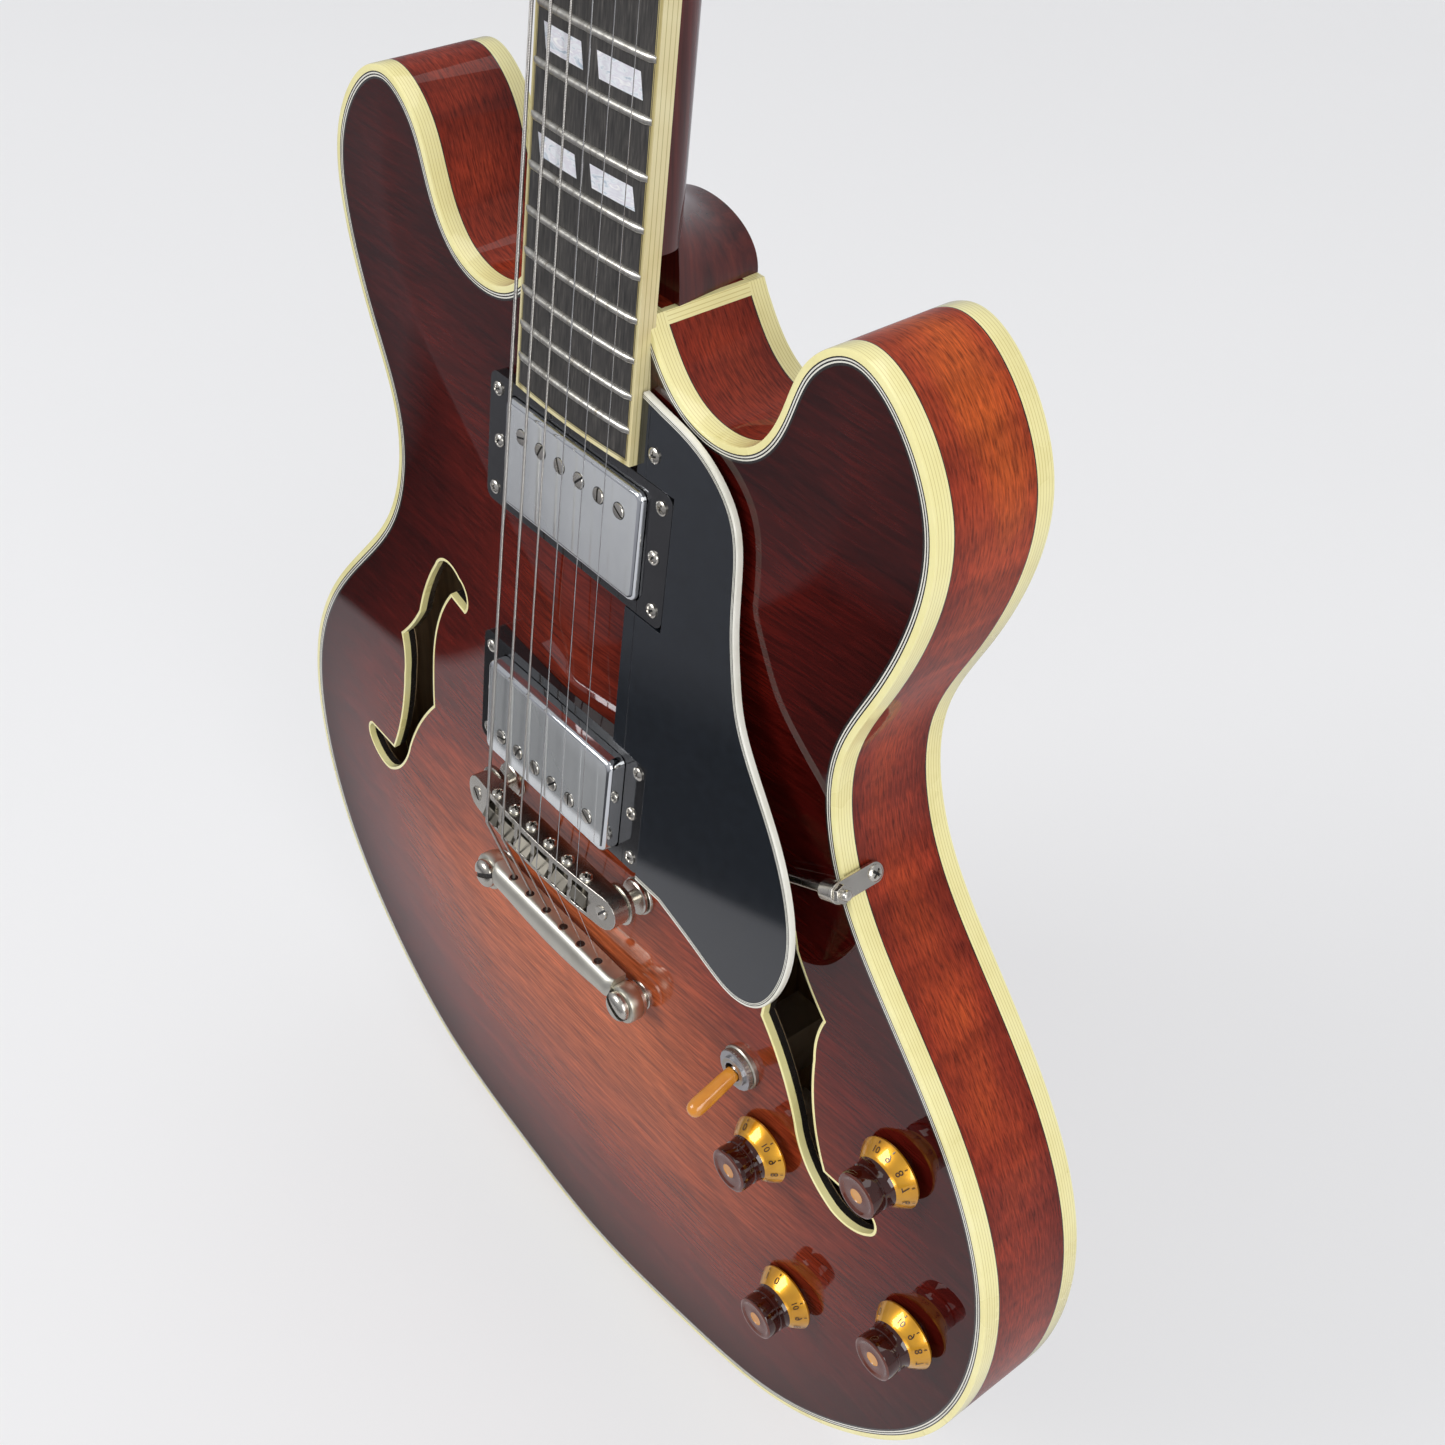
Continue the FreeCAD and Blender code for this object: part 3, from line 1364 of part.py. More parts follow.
def output_jack():
    """Jack socket in the lower treble rim: barrel with a round bore, washer, nut and terminals."""
    point, outward = outline_frame(jack_place_share)
    face = jack_washer_thickness + jack_nut_thickness
    barrel = polygon_bar(jack_barrel_radius, -jack_barrel_length, face, turned_sides)
    barrel = barrel.cut(cylinder(jack_bore_radius, Vector(0, 0, -jack_barrel_length - overrun),
                                 Vector(0, 0, face + overrun)))
    washer = turned([(jack_barrel_radius, 0), (jack_washer_radius, 0),
                     (jack_washer_radius, jack_washer_thickness),
                     (jack_barrel_radius, jack_washer_thickness)])
    nut_piece = hexagon(jack_nut_radius, jack_nut_thickness)
    nut_piece.translate(Vector(0, 0, jack_washer_thickness))
    nut_piece = nut_piece.cut(polygon_bar(jack_barrel_radius, 0, overrun * 3, turned_sides))
    half = jack_terminal_width / 2
    low = -jack_barrel_length - jack_terminal_length
    offset = (jack_bore_radius + jack_barrel_radius) / 2
    terminals = [block((x - jack_terminal_thickness / 2, x + jack_terminal_thickness / 2), (-half, half),
                       (low, -jack_barrel_length)) for x in (-offset, offset)]
    seat = Vector(point.x, 0, point.z)
    return [aimed(piece, seat, outward) for piece in [barrel, washer, nut_piece] + terminals]


def strap_button(seat, direction):
    """Strap button and its screw."""
    profile = [(strap_base_radius, 0), (strap_waist_radius, strap_height * 0.35),
               (strap_waist_radius * 1.1, strap_height * 0.6),
               (strap_rim_radius, strap_height - strap_flange),
               (strap_rim_radius, strap_height - strap_flange / 2), (strap_rim_radius * 0.8, strap_height)]
    button = turned([(0, 0)] + profile + [(0, strap_height)], peg_sides)
    screw_piece = screw(strap_screw_head_radius, strap_screw_head_height, strap_screw_radius,
                        strap_screw_length)
    screw_piece.translate(Vector(0, 0, strap_height))
    return aimed(button.cut(screw_piece), seat, direction), aimed(screw_piece, seat, direction)


def heel_button_seat():
    """Seat on the back plate below the heel, level with the highest ground under the button's foot."""
    z = tail_to_neck_joint - heel_button_setback
    ground = arch_height(0, z - strap_base_radius, back_arch)
    return Vector(0, back_y + ground + strap_seat_clearance, z)


def tuner_housing(x, z):
    """Gear case on the back of the headstock, and the bushing pressed in from the front."""
    side = -1 if x < 0 else 1
    back = head_overlay_thickness + head_thickness
    case = block((x - housing_width / 2, x + housing_width / 2), (back, back + housing_depth),
                 (z - housing_length / 2, z + housing_length / 2))
    edges = [edge for edge in case.Edges if edge.BoundBox.YMin > back + overrun]
    case = case.makeChamfer(housing_wall, edges)
    shaft_y = back + housing_depth / 2
    post_bore = aimed(bore_bar(post_radius + post_clearance, -shaft_y, 0), Vector(x, 0, z), to_front)
    shaft_start = -housing_width * tuner_shaft_share
    shaft_bore = aimed(bore_bar(button_shaft_radius + post_clearance, shaft_start - post_clearance,
                                housing_width),
                       Vector(x, shaft_y, z + button_shaft_offset), Vector(side, 0, 0))
    bushing = polygon_bar(bushing_sleeve_radius, -bushing_sleeve_length, 0, peg_sides).fuse(
        hexagon(bushing_radius, bushing_height))
    bushing = bushing.cut(bore_bar(post_radius + post_clearance, -housing_depth, housing_depth))
    return [on_head(case.cut([post_bore, shaft_bore])), on_head(aimed(bushing, Vector(x, 0, z), to_front))]


def tuner_post(x, z):
    """String post with its waist and hole, and the windings of the string round the waist."""
    low = -head_overlay_thickness - head_thickness - housing_depth / 2
    wind_top = wind_base + wind_height
    shaft = cylinder(post_radius, Vector(0, 0, low), Vector(0, 0, wind_base))
    post = turned([(0, wind_base), (post_waist_radius, wind_base), (post_waist_radius, wind_top),
                   (post_radius, wind_top), (post_radius, post_rise - post_bevel),
                   (post_radius - post_bevel / 2, post_rise), (0, post_rise)], peg_sides).fuse(shaft)
    hole = polygon_bar(post_hole_radius, -post_radius * 2, post_radius * 2, shank_sides)
    hole = aimed(hole, Vector(0, 0, wind_top + post_hole_radius * 2), along_x)
    wind = turned([(post_waist_radius, wind_base), (wind_radius, wind_base), (wind_radius, wind_top),
                   (post_waist_radius, wind_top)], peg_sides)
    seat = Vector(x, 0, z)
    return [on_head(aimed(piece, seat, to_front)) for piece in (post.cut(hole), wind)]


def tuner_button(x, z):
    """Worm shaft with its collar and the grip on its end."""
    side = -1 if x < 0 else 1
    shaft_y = head_overlay_thickness + head_thickness + housing_depth / 2
    reach = housing_width / 2 + button_stalk
    shaft = cylinder(button_shaft_radius, Vector(0, 0, -housing_width * tuner_shaft_share),
                     Vector(0, 0, reach))
    collar = polygon_bar(button_collar_radius, reach - button_collar_length, reach, peg_sides)
    grip = button_grip()
    grip.translate(Vector(0, 0, reach))
    return on_head(aimed(shaft.fuse([collar, grip]), Vector(x, shaft_y, z + button_shaft_offset),
                         Vector(side, 0, 0)))


def button_grip():
    """Kidney-shaped button: a thick plate, broad in the middle and narrow at its stem."""
    reach = 2 * button_half_width
    half = [Vector(0, width * button_half_length, share * reach) for width, share in button_outline_shares]
    points = half + [Vector(0, -point.y, point.z) for point in reversed(half)]
    wire = Part.makePolygon(points + points[:1])
    wire.translate(Vector(-button_thickness / 2, 0, 0))
    return Part.Face(wire).extrude(Vector(button_thickness, 0, 0))


def truss_cover():
    """Bell-shaped plate over the end of the truss rod."""
    half = [Vector(width * truss_cover_half_width, 0, nut_length / 5 + share * truss_cover_length)
            for width, share in truss_cover_shares]
    points = half + [Vector(-point.x, 0, point.z) for point in reversed(half)]
    return Part.Face(Part.makePolygon(points + points[:1])).extrude(Vector(0, -truss_cover_thickness, 0))


def truss_cover_screws():
    """Screws of the rod's cover."""
    solid = screw(small_head_radius, small_head_height, small_shank_radius, small_shank_length * 0.6)
    places = [(-truss_cover_half_width * 0.6, truss_cover_length * 0.2),
              (truss_cover_half_width * 0.6, truss_cover_length * 0.2), (0, truss_cover_length * 0.88)]
    return [on_head(aimed(solid, Vector(x, -truss_cover_thickness, z), to_front)) for x, z in places]


def rim_end_strips():
    """Bound ends of the rim where it meets the heel, one each side."""
    half = board_half_width_at_end - binding_width
    strip = block((half - rim_end_strip_depth, half + rim_end_strip_depth),
                  (front_y + binding_height, back_y - binding_height),
                  (tail_to_neck_joint - rim_end_strip_width, tail_to_neck_joint))
    strip = strip.common(body_prism(0, front_y, back_y))
    return [strip, mirrored(strip)]


os.makedirs("parts", exist_ok=True)

soundholes = soundhole_prism(0)
seat_cut = neck_seat()
tenon_solid = tenon()
routes = [route(0), route(1)]
strap_parts = [strap_button(Vector(0, 0, 0), Vector(0, 0, -1)), strap_button(heel_button_seat(), to_back)]
bracket_parts = pickguard_bracket()
guard_parts = pickguard_pieces()
pots = [pot(x, z) for x, z in control_points()]
knobs = [knob(x, z) for x, z in control_points()]
switch_parts = switch_pieces()
jack_parts = output_jack()
post_solids = bridge_posts()
stud_solids = tailpiece_studs()
poles = [[pole_screw(index, x, place) for x, place in pole_places(index)] for index in range(2)]
all_ring_screws = ring_screws(0) + ring_screws(1)
strips = rim_end_strips()
jack_point, jack_direction = outline_frame(jack_place_share)
jack_hole = aimed(polygon_bar(jack_barrel_radius, -jack_barrel_length, jack_washer_thickness, turned_sides),
                  Vector(jack_point.x, 0, jack_point.z), jack_direction)

control_holes = []
for x, z in control_points():
    control_holes.append(aimed(polygon_bar(pot_bushing_radius, -plate_thickness * 2, top_arch,
                                           turned_sides),
                               pot_base(x, z), to_front))
control_holes.append(aimed(polygon_bar(switch_sleeve_radius, -plate_thickness * 2, top_arch, turned_sides),
                           switch_base(), to_front))
hardware_cuts = []
middle_place = (bridge_front + bridge_back) / 2
for side in (-1, 1):
    x_post = side * bridge_post_spacing / 2
    x_stud = side * stud_spacing / 2
    post_surface = surface_rise_at(x_post, middle_place)
    stud_surface = surface_rise_at(x_stud, stud_place)
    sleeve_low = at(x_post, post_surface - collar_sleeve_length, middle_place)
    post_low = at(x_post, bridge_post_top - bridge_post_length, middle_place)
    stud_low = at(x_stud, stud_surface - stud_thread_length, stud_place)
    hardware_cuts.append(on_neck(peg(collar_sleeve_radius, sleeve_low, at(x_post, 0, middle_place),
                                     turned_sides)))
    hardware_cuts.append(on_neck(peg(bridge_post_radius, post_low, at(x_post, 0, middle_place),
                                     turned_sides)))
    hardware_cuts.append(on_neck(peg(stud_sleeve_radius, stud_low, at(x_stud, 0, stud_place),
                                     turned_sides)))

top_cuts = [soundholes, mirrored(soundholes), seat_cut,
            tenon_solid] + routes + control_holes + hardware_cuts
top_cuts += all_ring_screws + [guard_screw()]
save("top_plate", top_slab.common(body_prism(binding_width, front_y - top_arch * 2, front_y
                                             + plate_thickness + overrun)).cut(top_cuts))
back_prism = body_prism(binding_width, back_y - plate_thickness - overrun, back_y + back_arch * 2)
save("back_plate", back_slab.common(back_prism).cut([tenon_solid, strap_parts[1][1]]))
bindings = [ring.cut([seat_cut, tenon_solid]) for ring in body_bindings()]
save("body_bindings", *bindings)

wall = body_prism(0, front_y + plate_thickness, back_y - plate_thickness)
wall = wall.cut(body_prism(rim_wall, front_y, back_y))
linings = []
for low, high in ((front_y + plate_thickness, front_y + plate_thickness + lining_height),
                  (back_y - plate_thickness - lining_height, back_y - plate_thickness)):
    linings.append(body_prism(rim_wall, low,
                              high).cut(body_prism(rim_wall + lining_width, low - overrun, high + overrun)))
block_box = block((-block_half_width, block_half_width), (front_y - top_arch, back_y + back_arch),
                  (-overrun, body_length))
rim = wall.fuse([lining.cut(block_box) for lining in linings])
rim = rim.cut(bindings + [seat_cut, tenon_solid, jack_hole, strap_parts[0][1], bracket_parts[3]]
              + strips).removeSplitter()
save("rim", rim)
save("heel_binding", heel_cap(), *strips)

wood = block_box.common(body_prism(rim_wall, front_y - top_arch, back_y + back_arch))
wood = wood.common(arch_band(top_arch, front_y, -1, -plate_thickness - body_reach, -plate_thickness))
wood = wood.common(arch_band(back_arch, back_y, 1, -plate_thickness - body_reach, -plate_thickness))
wood = wood.cut(routes + [seat_cut, tenon_solid, strap_parts[0][1], strap_parts[1][1], guard_screw()])
wood = wood.cut(hardware_cuts + all_ring_screws + strips)
save("centre_block", wood)

save("neck", neck().cut([heel_cap(), strap_parts[1][1]] + truss_cover_screws()))
save("truss_rod", *truss_rod())
inlay_solids = inlays()
save("fingerboard", on_neck(fingerboard(inlay_solids)))
save("fingerboard_binding", on_neck(fingerboard_binding()))
save("frets", *[on_neck(fret(number)) for number in range(1, fret_count + 1)])
save("fret_inlays", *[on_neck(solid) for solid in inlay_solids])
save("nut", nut())
overlay = head_plate(0, head_overlay_thickness, head_binding_width)
edge_strip = head_plate(0, head_overlay_thickness,
                        0).cut(head_plate(-overrun, head_overlay_thickness + overrun, head_binding_width))
nut_room = on_neck(neck_block((-head_half_width, head_half_width), (-board_thickness, nut_rise),
                              (scale_length, scale_length + nut_length)))
overlay_cuts = [nut_room, truss_pocket()] + [on_head(peg(bushing_sleeve_radius, Vector(x, overrun, z),
                                                         Vector(x, -overrun, z)))
                                   for x, z in tuner_places()] + truss_cover_screws()
save("headstock_overlay", on_head(overlay).cut(overlay_cuts))
save("headstock_binding", on_head(edge_strip).cut(nut_room))
save("truss_rod_cover", on_head(truss_cover()).cut(truss_cover_screws()))
save("soundhole_bindings", *soundhole_bindings())
save("strings", *[string(index) for index in range(6)])
save("bridge_posts", *post_solids)
save("tailpiece", tailpiece())
save("tailpiece_studs", *stud_solids)
save("pickup_rings", pickup_ring(0), pickup_ring(1))
save("pickup_covers", pickup_cover(0), pickup_cover(1))
save("pickup_coils", *[solid for index in range(2) for solid in pickup_coils(index, poles[index])])
save("pole_screws", *[solid for row in poles for solid in row])
height_set = height_screws(0) + height_screws(1)
save("small_screws", *(all_ring_screws + height_set
                       + [guard_screw(), bracket_parts[3], strap_parts[0][1], strap_parts[1][1]]
                       + truss_cover_screws()))
save("pickguard", guard_parts[0])
save("pickguard_binding", guard_parts[1])
save("pickguard_bracket", *bracket_parts[:3], guard_parts[2])
save("pot_bodies", *[solid for pieces in pots for solid in pieces])
save("switch_body", *switch_parts)
save("output_jack", *jack_parts)
save("strap_buttons", strap_parts[0][0], strap_parts[1][0])
save("bridge", bridge())
save("thumbwheels", *thumbwheels())
save("saddle_screws", *saddle_screws())
for index in range(6):
    save("saddle_%d" % (6 - index), saddle(index))
for number, pieces in enumerate(knobs, 1):
    save("knob_%d" % number, *pieces)
save("switch_lever", switch_lever())
for index, (x, z) in enumerate(tuner_places()):
    save("tuner_button_%d" % (6 - index), tuner_button(x, z))
    save("tuner_post_%d" % (6 - index), *tuner_post(x, z))
save("tuner_housings", *[solid for x, z in tuner_places() for solid in tuner_housing(x, z)])
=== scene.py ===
import math

import bmesh
import bpy
import numpy as np
from mathutils import Matrix, Vector
from mathutils.geometry import delaunay_2d_cdt


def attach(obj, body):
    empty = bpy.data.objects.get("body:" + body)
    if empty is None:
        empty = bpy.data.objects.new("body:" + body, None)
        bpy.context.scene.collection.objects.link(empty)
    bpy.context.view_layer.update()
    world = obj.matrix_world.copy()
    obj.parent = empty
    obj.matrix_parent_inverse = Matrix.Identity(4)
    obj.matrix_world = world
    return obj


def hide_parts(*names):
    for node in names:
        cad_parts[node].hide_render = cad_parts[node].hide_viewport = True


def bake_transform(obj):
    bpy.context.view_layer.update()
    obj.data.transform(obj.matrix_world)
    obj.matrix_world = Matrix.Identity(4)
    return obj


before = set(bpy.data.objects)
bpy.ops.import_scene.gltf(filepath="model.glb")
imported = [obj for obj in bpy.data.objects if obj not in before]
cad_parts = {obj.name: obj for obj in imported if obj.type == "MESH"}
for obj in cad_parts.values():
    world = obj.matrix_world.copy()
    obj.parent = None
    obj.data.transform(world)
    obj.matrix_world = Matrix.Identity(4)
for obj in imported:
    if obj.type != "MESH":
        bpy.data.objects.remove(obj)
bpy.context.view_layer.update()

# The guitar stands upright: X to the treble side, Y to the back, Z up the neck.
# Lengths in the tables are millimetres; MM turns them into metres.
MM = 0.001
ROOT = "instrument"

FRONT_Y = -21.0
BACK_Y = 21.0
HALF_WIDTH = 205.2
LENGTH = 482.0
TAIL_TO_BRIDGE = 247.1
NECK_JOINT = 456.0
TOP_ARCH = 10.5
BACK_ARCH = 8.0
ARCH_BORDER = 6.0
ARCH_RUN = 150.0
BINDING_HEIGHT = 6.2
PURFLING_WIDTH = 4.5
PLATE = 5.9
RIM_WALL = 4.2

SCALE = 628.65
BOARD_END = 165.5
BOARD_HALF_END = 28.3
BOARD_HALF_NUT = 21.6
BOARD_RADIUS = 305.0
BOARD_THICKNESS = 7.0
FRET_PLANE = 23.0
NUT_LENGTH = 5.0
NECK_TILT = math.radians(4.9)
HEAD_TILT = math.radians(15.0)
NECK_COS, NECK_SIN = math.cos(NECK_TILT), math.sin(NECK_TILT)
HEAD_HALF, HEAD_LENGTH = 40.0, 182.0
HEEL_HALF, HEEL_DEPTH = 23.0, 15.5

STRING_SPREAD, NUT_SPREAD = 52.0, 35.5
STRING_HOLE_RISE, STRING_HOLE_PLACE = -8.4, -36.6
POST_HALF, POST_PLACE = 37.0, 0.4
STUD_HALF, STUD_PLACE = 41.25, -45.0
NECK_PICKUP, BRIDGE_PICKUP = 140.3, 42.5
RING_HALF_LENGTH, RING_HALF_WIDTH = 45.6, 22.7
POLE_SPREAD, POLE_OFFSET = 49.4, 8.8
GUARD_GAP = 0.35
BRACKET_ROD_Y, BRACKET_SCREW_Y = FRONT_Y - 4.4, FRONT_Y + 9.5
KNOB_LIFT = 2.0

OUTLINE_SHARES = [
    (0.000, 0.000), (0.289, 0.016), (0.569, 0.051), (0.796, 0.128), (0.933, 0.2135), (0.997, 0.313),
    (0.9795, 0.416), (0.873, 0.5085), (0.716, 0.588), (0.603, 0.655), (0.567, 0.735), (0.625, 0.8035),
    (0.679, 0.872), (0.678, 0.934), (0.601, 0.9855), (0.513, 1.000), (0.435, 0.9765), (0.397, 0.9385),
    (0.339, 0.906), (0.2456, 0.8995), (0.181, 0.914), (0.1375, 0.938)]
SOUNDHOLE_SHARES = [
    [(0.406, 1.205), (0.358, 1.200)],
    [(0.358, 1.200), (0.346, 1.2265), (0.375, 1.251), (0.419, 1.259), (0.4605, 1.232), (0.487, 1.196),
     (0.526, 1.115), (0.565, 1.068), (0.599, 1.036)],
    [(0.599, 1.036), (0.5895, 0.9955), (0.592, 0.9595), (0.600, 0.900), (0.648, 0.779)],
    [(0.648, 0.779), (0.7455, 0.772)],
    [(0.7455, 0.772), (0.763, 0.753), (0.7505, 0.7265), (0.721, 0.7125), (0.6725, 0.716), (0.624, 0.749),
     (0.575, 0.822), (0.526, 0.903), (0.475, 0.961)],
    [(0.475, 0.961), (0.4775, 0.9995), (0.477, 1.0435), (0.462, 1.1175), (0.406, 1.205)]]
GUARD_SHARES = [
    (1.33, 0.988), (1.94, 0.965), (2.42, 0.915), (2.60, 0.865), (2.665, 0.806), (2.72, 0.721), (2.835, 0.638),
    (3.025, 0.560), (3.545, 0.453), (3.95, 0.358), (4.187, 0.247), (4.12, 0.145), (3.855, 0.074), (3.475,
                                                                                                   0.049),
    (3.09, 0.057), (2.64, 0.0785), (2.06, 0.1035)]


def on_neck(x, rise, place):
    """Point over the strings' plane: rise above the board, place from the bridge towards the nut."""
    y = FRONT_Y - FRET_PLANE - rise * NECK_COS + place * NECK_SIN
    z = TAIL_TO_BRIDGE + place * NECK_COS + rise * NECK_SIN
    return Vector((x, y, z)) * MM


NECK_OUT = Vector((0, -NECK_COS, NECK_SIN))
NECK_UP = Vector((0, NECK_SIN, NECK_COS))
head_turn = NECK_TILT + HEAD_TILT
HEAD_OUT = Vector((0, -math.cos(head_turn), math.sin(head_turn)))
HEAD_UP = Vector((0, math.sin(head_turn), math.cos(head_turn)))
HEAD_BASE = on_neck(0, -4.6, SCALE + NUT_LENGTH)
RIGHT, FRONT, UP = Vector((1, 0, 0)), Vector((0, -1, 0)), Vector((0, 0, 1))


def on_head(x, rise, place):
    return HEAD_BASE + (RIGHT * x + HEAD_OUT * rise + HEAD_UP * place) * MM


def board_half(place):
    return BOARD_HALF_NUT + (BOARD_HALF_END - BOARD_HALF_NUT) * (SCALE - place) / (SCALE - BOARD_END)


# Materials

def ramp_node(tree, factor, stops, constant=False):
    node = tree.nodes.new("ShaderNodeValToRGB")
    node.color_ramp.interpolation = "CONSTANT" if constant else "LINEAR"
    elements = node.color_ramp.elements
    while len(elements) > 1:
        elements.remove(elements[-1])
    for index, (place, colour) in enumerate(stops):
        element = elements[0] if index == 0 else elements.new(place)
        element.position = place
        element.color = (*colour, 1)
    tree.links.new(factor, node.inputs["Fac"])
    return node.outputs["Color"]


def maths(tree, kind, first, second=None, third=None):
    node = tree.nodes.new("ShaderNodeMath")
    node.operation = kind
    for socket, value in zip(node.inputs, (first, second, third)):
        if value is None:
            continue
        if isinstance(value, (int, float)):
            socket.default_value = value
        else:
            tree.links.new(value, socket)
    return node.outputs[0]


def mixed(tree, factor, first, second, kind="MIX"):
    node = tree.nodes.new("ShaderNodeMix")
    node.data_type = "RGBA"
    node.blend_type = kind
    for socket, value in ((node.inputs[0], factor), (node.inputs[6], first), (node.inputs[7], second)):
        if isinstance(value, (int, float)):
            socket.default_value = value
        elif isinstance(value, tuple):
            socket.default_value = (*value, 1)
        else:
            tree.links.new(value, socket)
    return node.outputs[2]


def place_of(tree, scale=(1, 1, 1), turn=(0, 0, 0), vector=None):
    """Object coordinates, turned and scaled."""
    if vector is None:
        vector = tree.nodes.new("ShaderNodeTexCoord").outputs["Object"]
    node = tree.nodes.new("ShaderNodeMapping")
    node.inputs["Scale"].default_value = scale
    node.inputs["Rotation"].default_value = turn
    tree.links.new(vector, node.inputs["Vector"])
    return node.outputs["Vector"]


def noise(tree, vector, scale=1.0, detail=3.0, rough=0.55, warp=0.0):
    node = tree.nodes.new("ShaderNodeTexNoise")
    node.inputs["Scale"].default_value = scale
    node.inputs["Detail"].default_value = detail
    node.inputs["Roughness"].default_value = rough
    node.inputs["Distortion"].default_value = warp
    tree.links.new(vector, node.inputs["Vector"])
    return node.outputs["Fac"]


def attribute(tree, name):
    node = tree.nodes.new("ShaderNodeAttribute")
    node.attribute_name = name
    return node.outputs["Fac"]


def axes_of(tree):
    """X, Y and Z of the object coordinates."""
    node = tree.nodes.new("ShaderNodeSeparateXYZ")
    tree.links.new(tree.nodes.new("ShaderNodeTexCoord").outputs["Object"], node.inputs[0])
    return node.outputs


def finish(name, colour=(0.5, 0.5, 0.5), rough=0.4, metal=0.0, coat=0.0, coat_rough=0.03, specular=0.5):
    """New material with its shader; colour can be linked later."""
    made = bpy.data.materials.new(name)
    made.use_nodes = True
    tree = made.node_tree
    shader = tree.nodes["Principled BSDF"]
    shader.inputs["Base Color"].default_value = (*colour, 1)
    shader.inputs["Roughness"].default_value = rough
    shader.inputs["Metallic"].default_value = metal
    shader.inputs["Coat Weight"].default_value = coat
    shader.inputs["Coat Roughness"].default_value = coat_rough
    shader.inputs["Specular IOR Level"].default_value = specular
    return made, tree, shader


def tint(tree, shader, colour):
    tree.links.new(colour, shader.inputs["Base Color"])


def rough_by(tree, shader, factor, low, high):
    node = tree.nodes.new("ShaderNodeMapRange")
    node.inputs["To Min"].default_value = low
    node.inputs["To Max"].default_value = high
    tree.links.new(factor, node.inputs["Value"])
    tree.links.new(node.outputs[0], shader.inputs["Roughness"])


def bumped(tree, shader, height, strength=0.2, distance=0.0002, coat=False):
    node = tree.nodes.new("ShaderNodeBump")
    node.inputs["Strength"].default_value = strength
    node.inputs["Distance"].default_value = distance
    tree.links.new(height, node.inputs["Height"])
    tree.links.new(node.outputs["Normal"], shader.inputs["Normal"])
    if coat:
        tree.links.new(node.outputs["Normal"], shader.inputs["Coat Normal"])


def speckled(name, stops, scale, detail=3.0, grain_rough=0.55, warp=0.0, turn=(0, 0, 0), spread=None,
             bump=None, **looks):
    """Material whose tones follow one noise, which can also set its roughness and its relief."""
    made, tree, shader = finish(name, **looks)
    grain = noise(tree, place_of(tree, scale, turn), 1.0, detail, grain_rough, warp)
    tint(tree, shader, ramp_node(tree, grain, stops))
    if spread:
        rough_by(tree, shader, grain, *spread)
    if bump:
        bumped(tree, shader, grain, *bump)
    return made


def wood_figure(tree, stripe=95.0, drawn=7.0):
    """Streaks drawn across the body, with broad flames in them."""
    fine = place_of(tree, (drawn, stripe * 0.5, stripe), (0, 0.06, 0.05))
    broad = place_of(tree, (drawn * 0.6, 8, stripe * 0.35), (0, -0.10, 0))
    streaks = noise(tree, fine, 9.0, 6.0, 0.62, 0.4)
    flames = noise(tree, broad, 2.0, 2.0, 0.5, 1.2)
    return streaks, flames


def lacquer_top(name, stops, dusk=False):
    """Burst lacquer: tones from the rim inwards, darker above the bridge with dusk."""
    made, tree, shader = finish(name, rough=0.5, coat=0.85, coat_rough=0.01, specular=0.0)
    cloud = noise(tree, place_of(tree, (9, 9, 9)), 1.0, 3.0, 0.6)
    edge = attribute(tree, "edge")
    wander = maths(tree, "MULTIPLY_ADD", cloud, 0.10, -0.05)
    if dusk:
        above = ramp_node(tree, maths(tree, "MULTIPLY", axes_of(tree)[2], 2.0), [
            (0.42, (1, 1, 1)), (0.60, (0.52, 0.52, 0.52)), (1.0, (0.5, 0.5, 0.5))])
        edge = maths(tree, "MULTIPLY", edge, above)
    base = ramp_node(tree, maths(tree, "ADD", edge, wander), stops)
    streaks, flames = wood_figure(tree)
    figured = mixed(tree, 0.85, base, ramp_node(tree, streaks, [
        (0.34, (0.50, 0.48, 0.47)), (0.49, (0.96, 0.95, 0.94)), (0.64, (1.50, 1.48, 1.44))]), "MULTIPLY")
    burnt = mixed(tree, 0.7, figured, ramp_node(tree, flames, [
        (0.30, (0.66, 0.60, 0.58)), (0.52, (1, 1, 1)), (0.75, (1.3, 1.28, 1.2))]), "MULTIPLY")
    tint(tree, shader, burnt)
    fine = noise(tree, place_of(tree, (160, 60, 900)), 1.0, 2.0)
    bumped(tree, shader, fine, 0.05, 0.00004)
    return made


TOP_STOPS = [(0.00, (0.030, 0.0022, 0.0016)), (0.10, (0.048, 0.0032, 0.0022)),
             (0.26, (0.095, 0.0080, 0.0045)),
             (0.48, (0.170, 0.0220, 0.0080)), (0.75, (0.300, 0.0600, 0.0200)), (1.00,
                                                                                (0.400, 0.0960, 0.0330))]
BACK_STOPS = [(0.00, (0.030, 0.0022, 0.0016)), (0.14, (0.060, 0.0042, 0.0028)),
              (0.40, (0.130, 0.0140, 0.0070)),
              (0.75, (0.270, 0.0540, 0.0190)), (1.00, (0.380, 0.0950, 0.0340))]
top_lacquer = lacquer_top("top_lacquer", TOP_STOPS, True)
back_lacquer = lacquer_top("back_lacquer", BACK_STOPS)


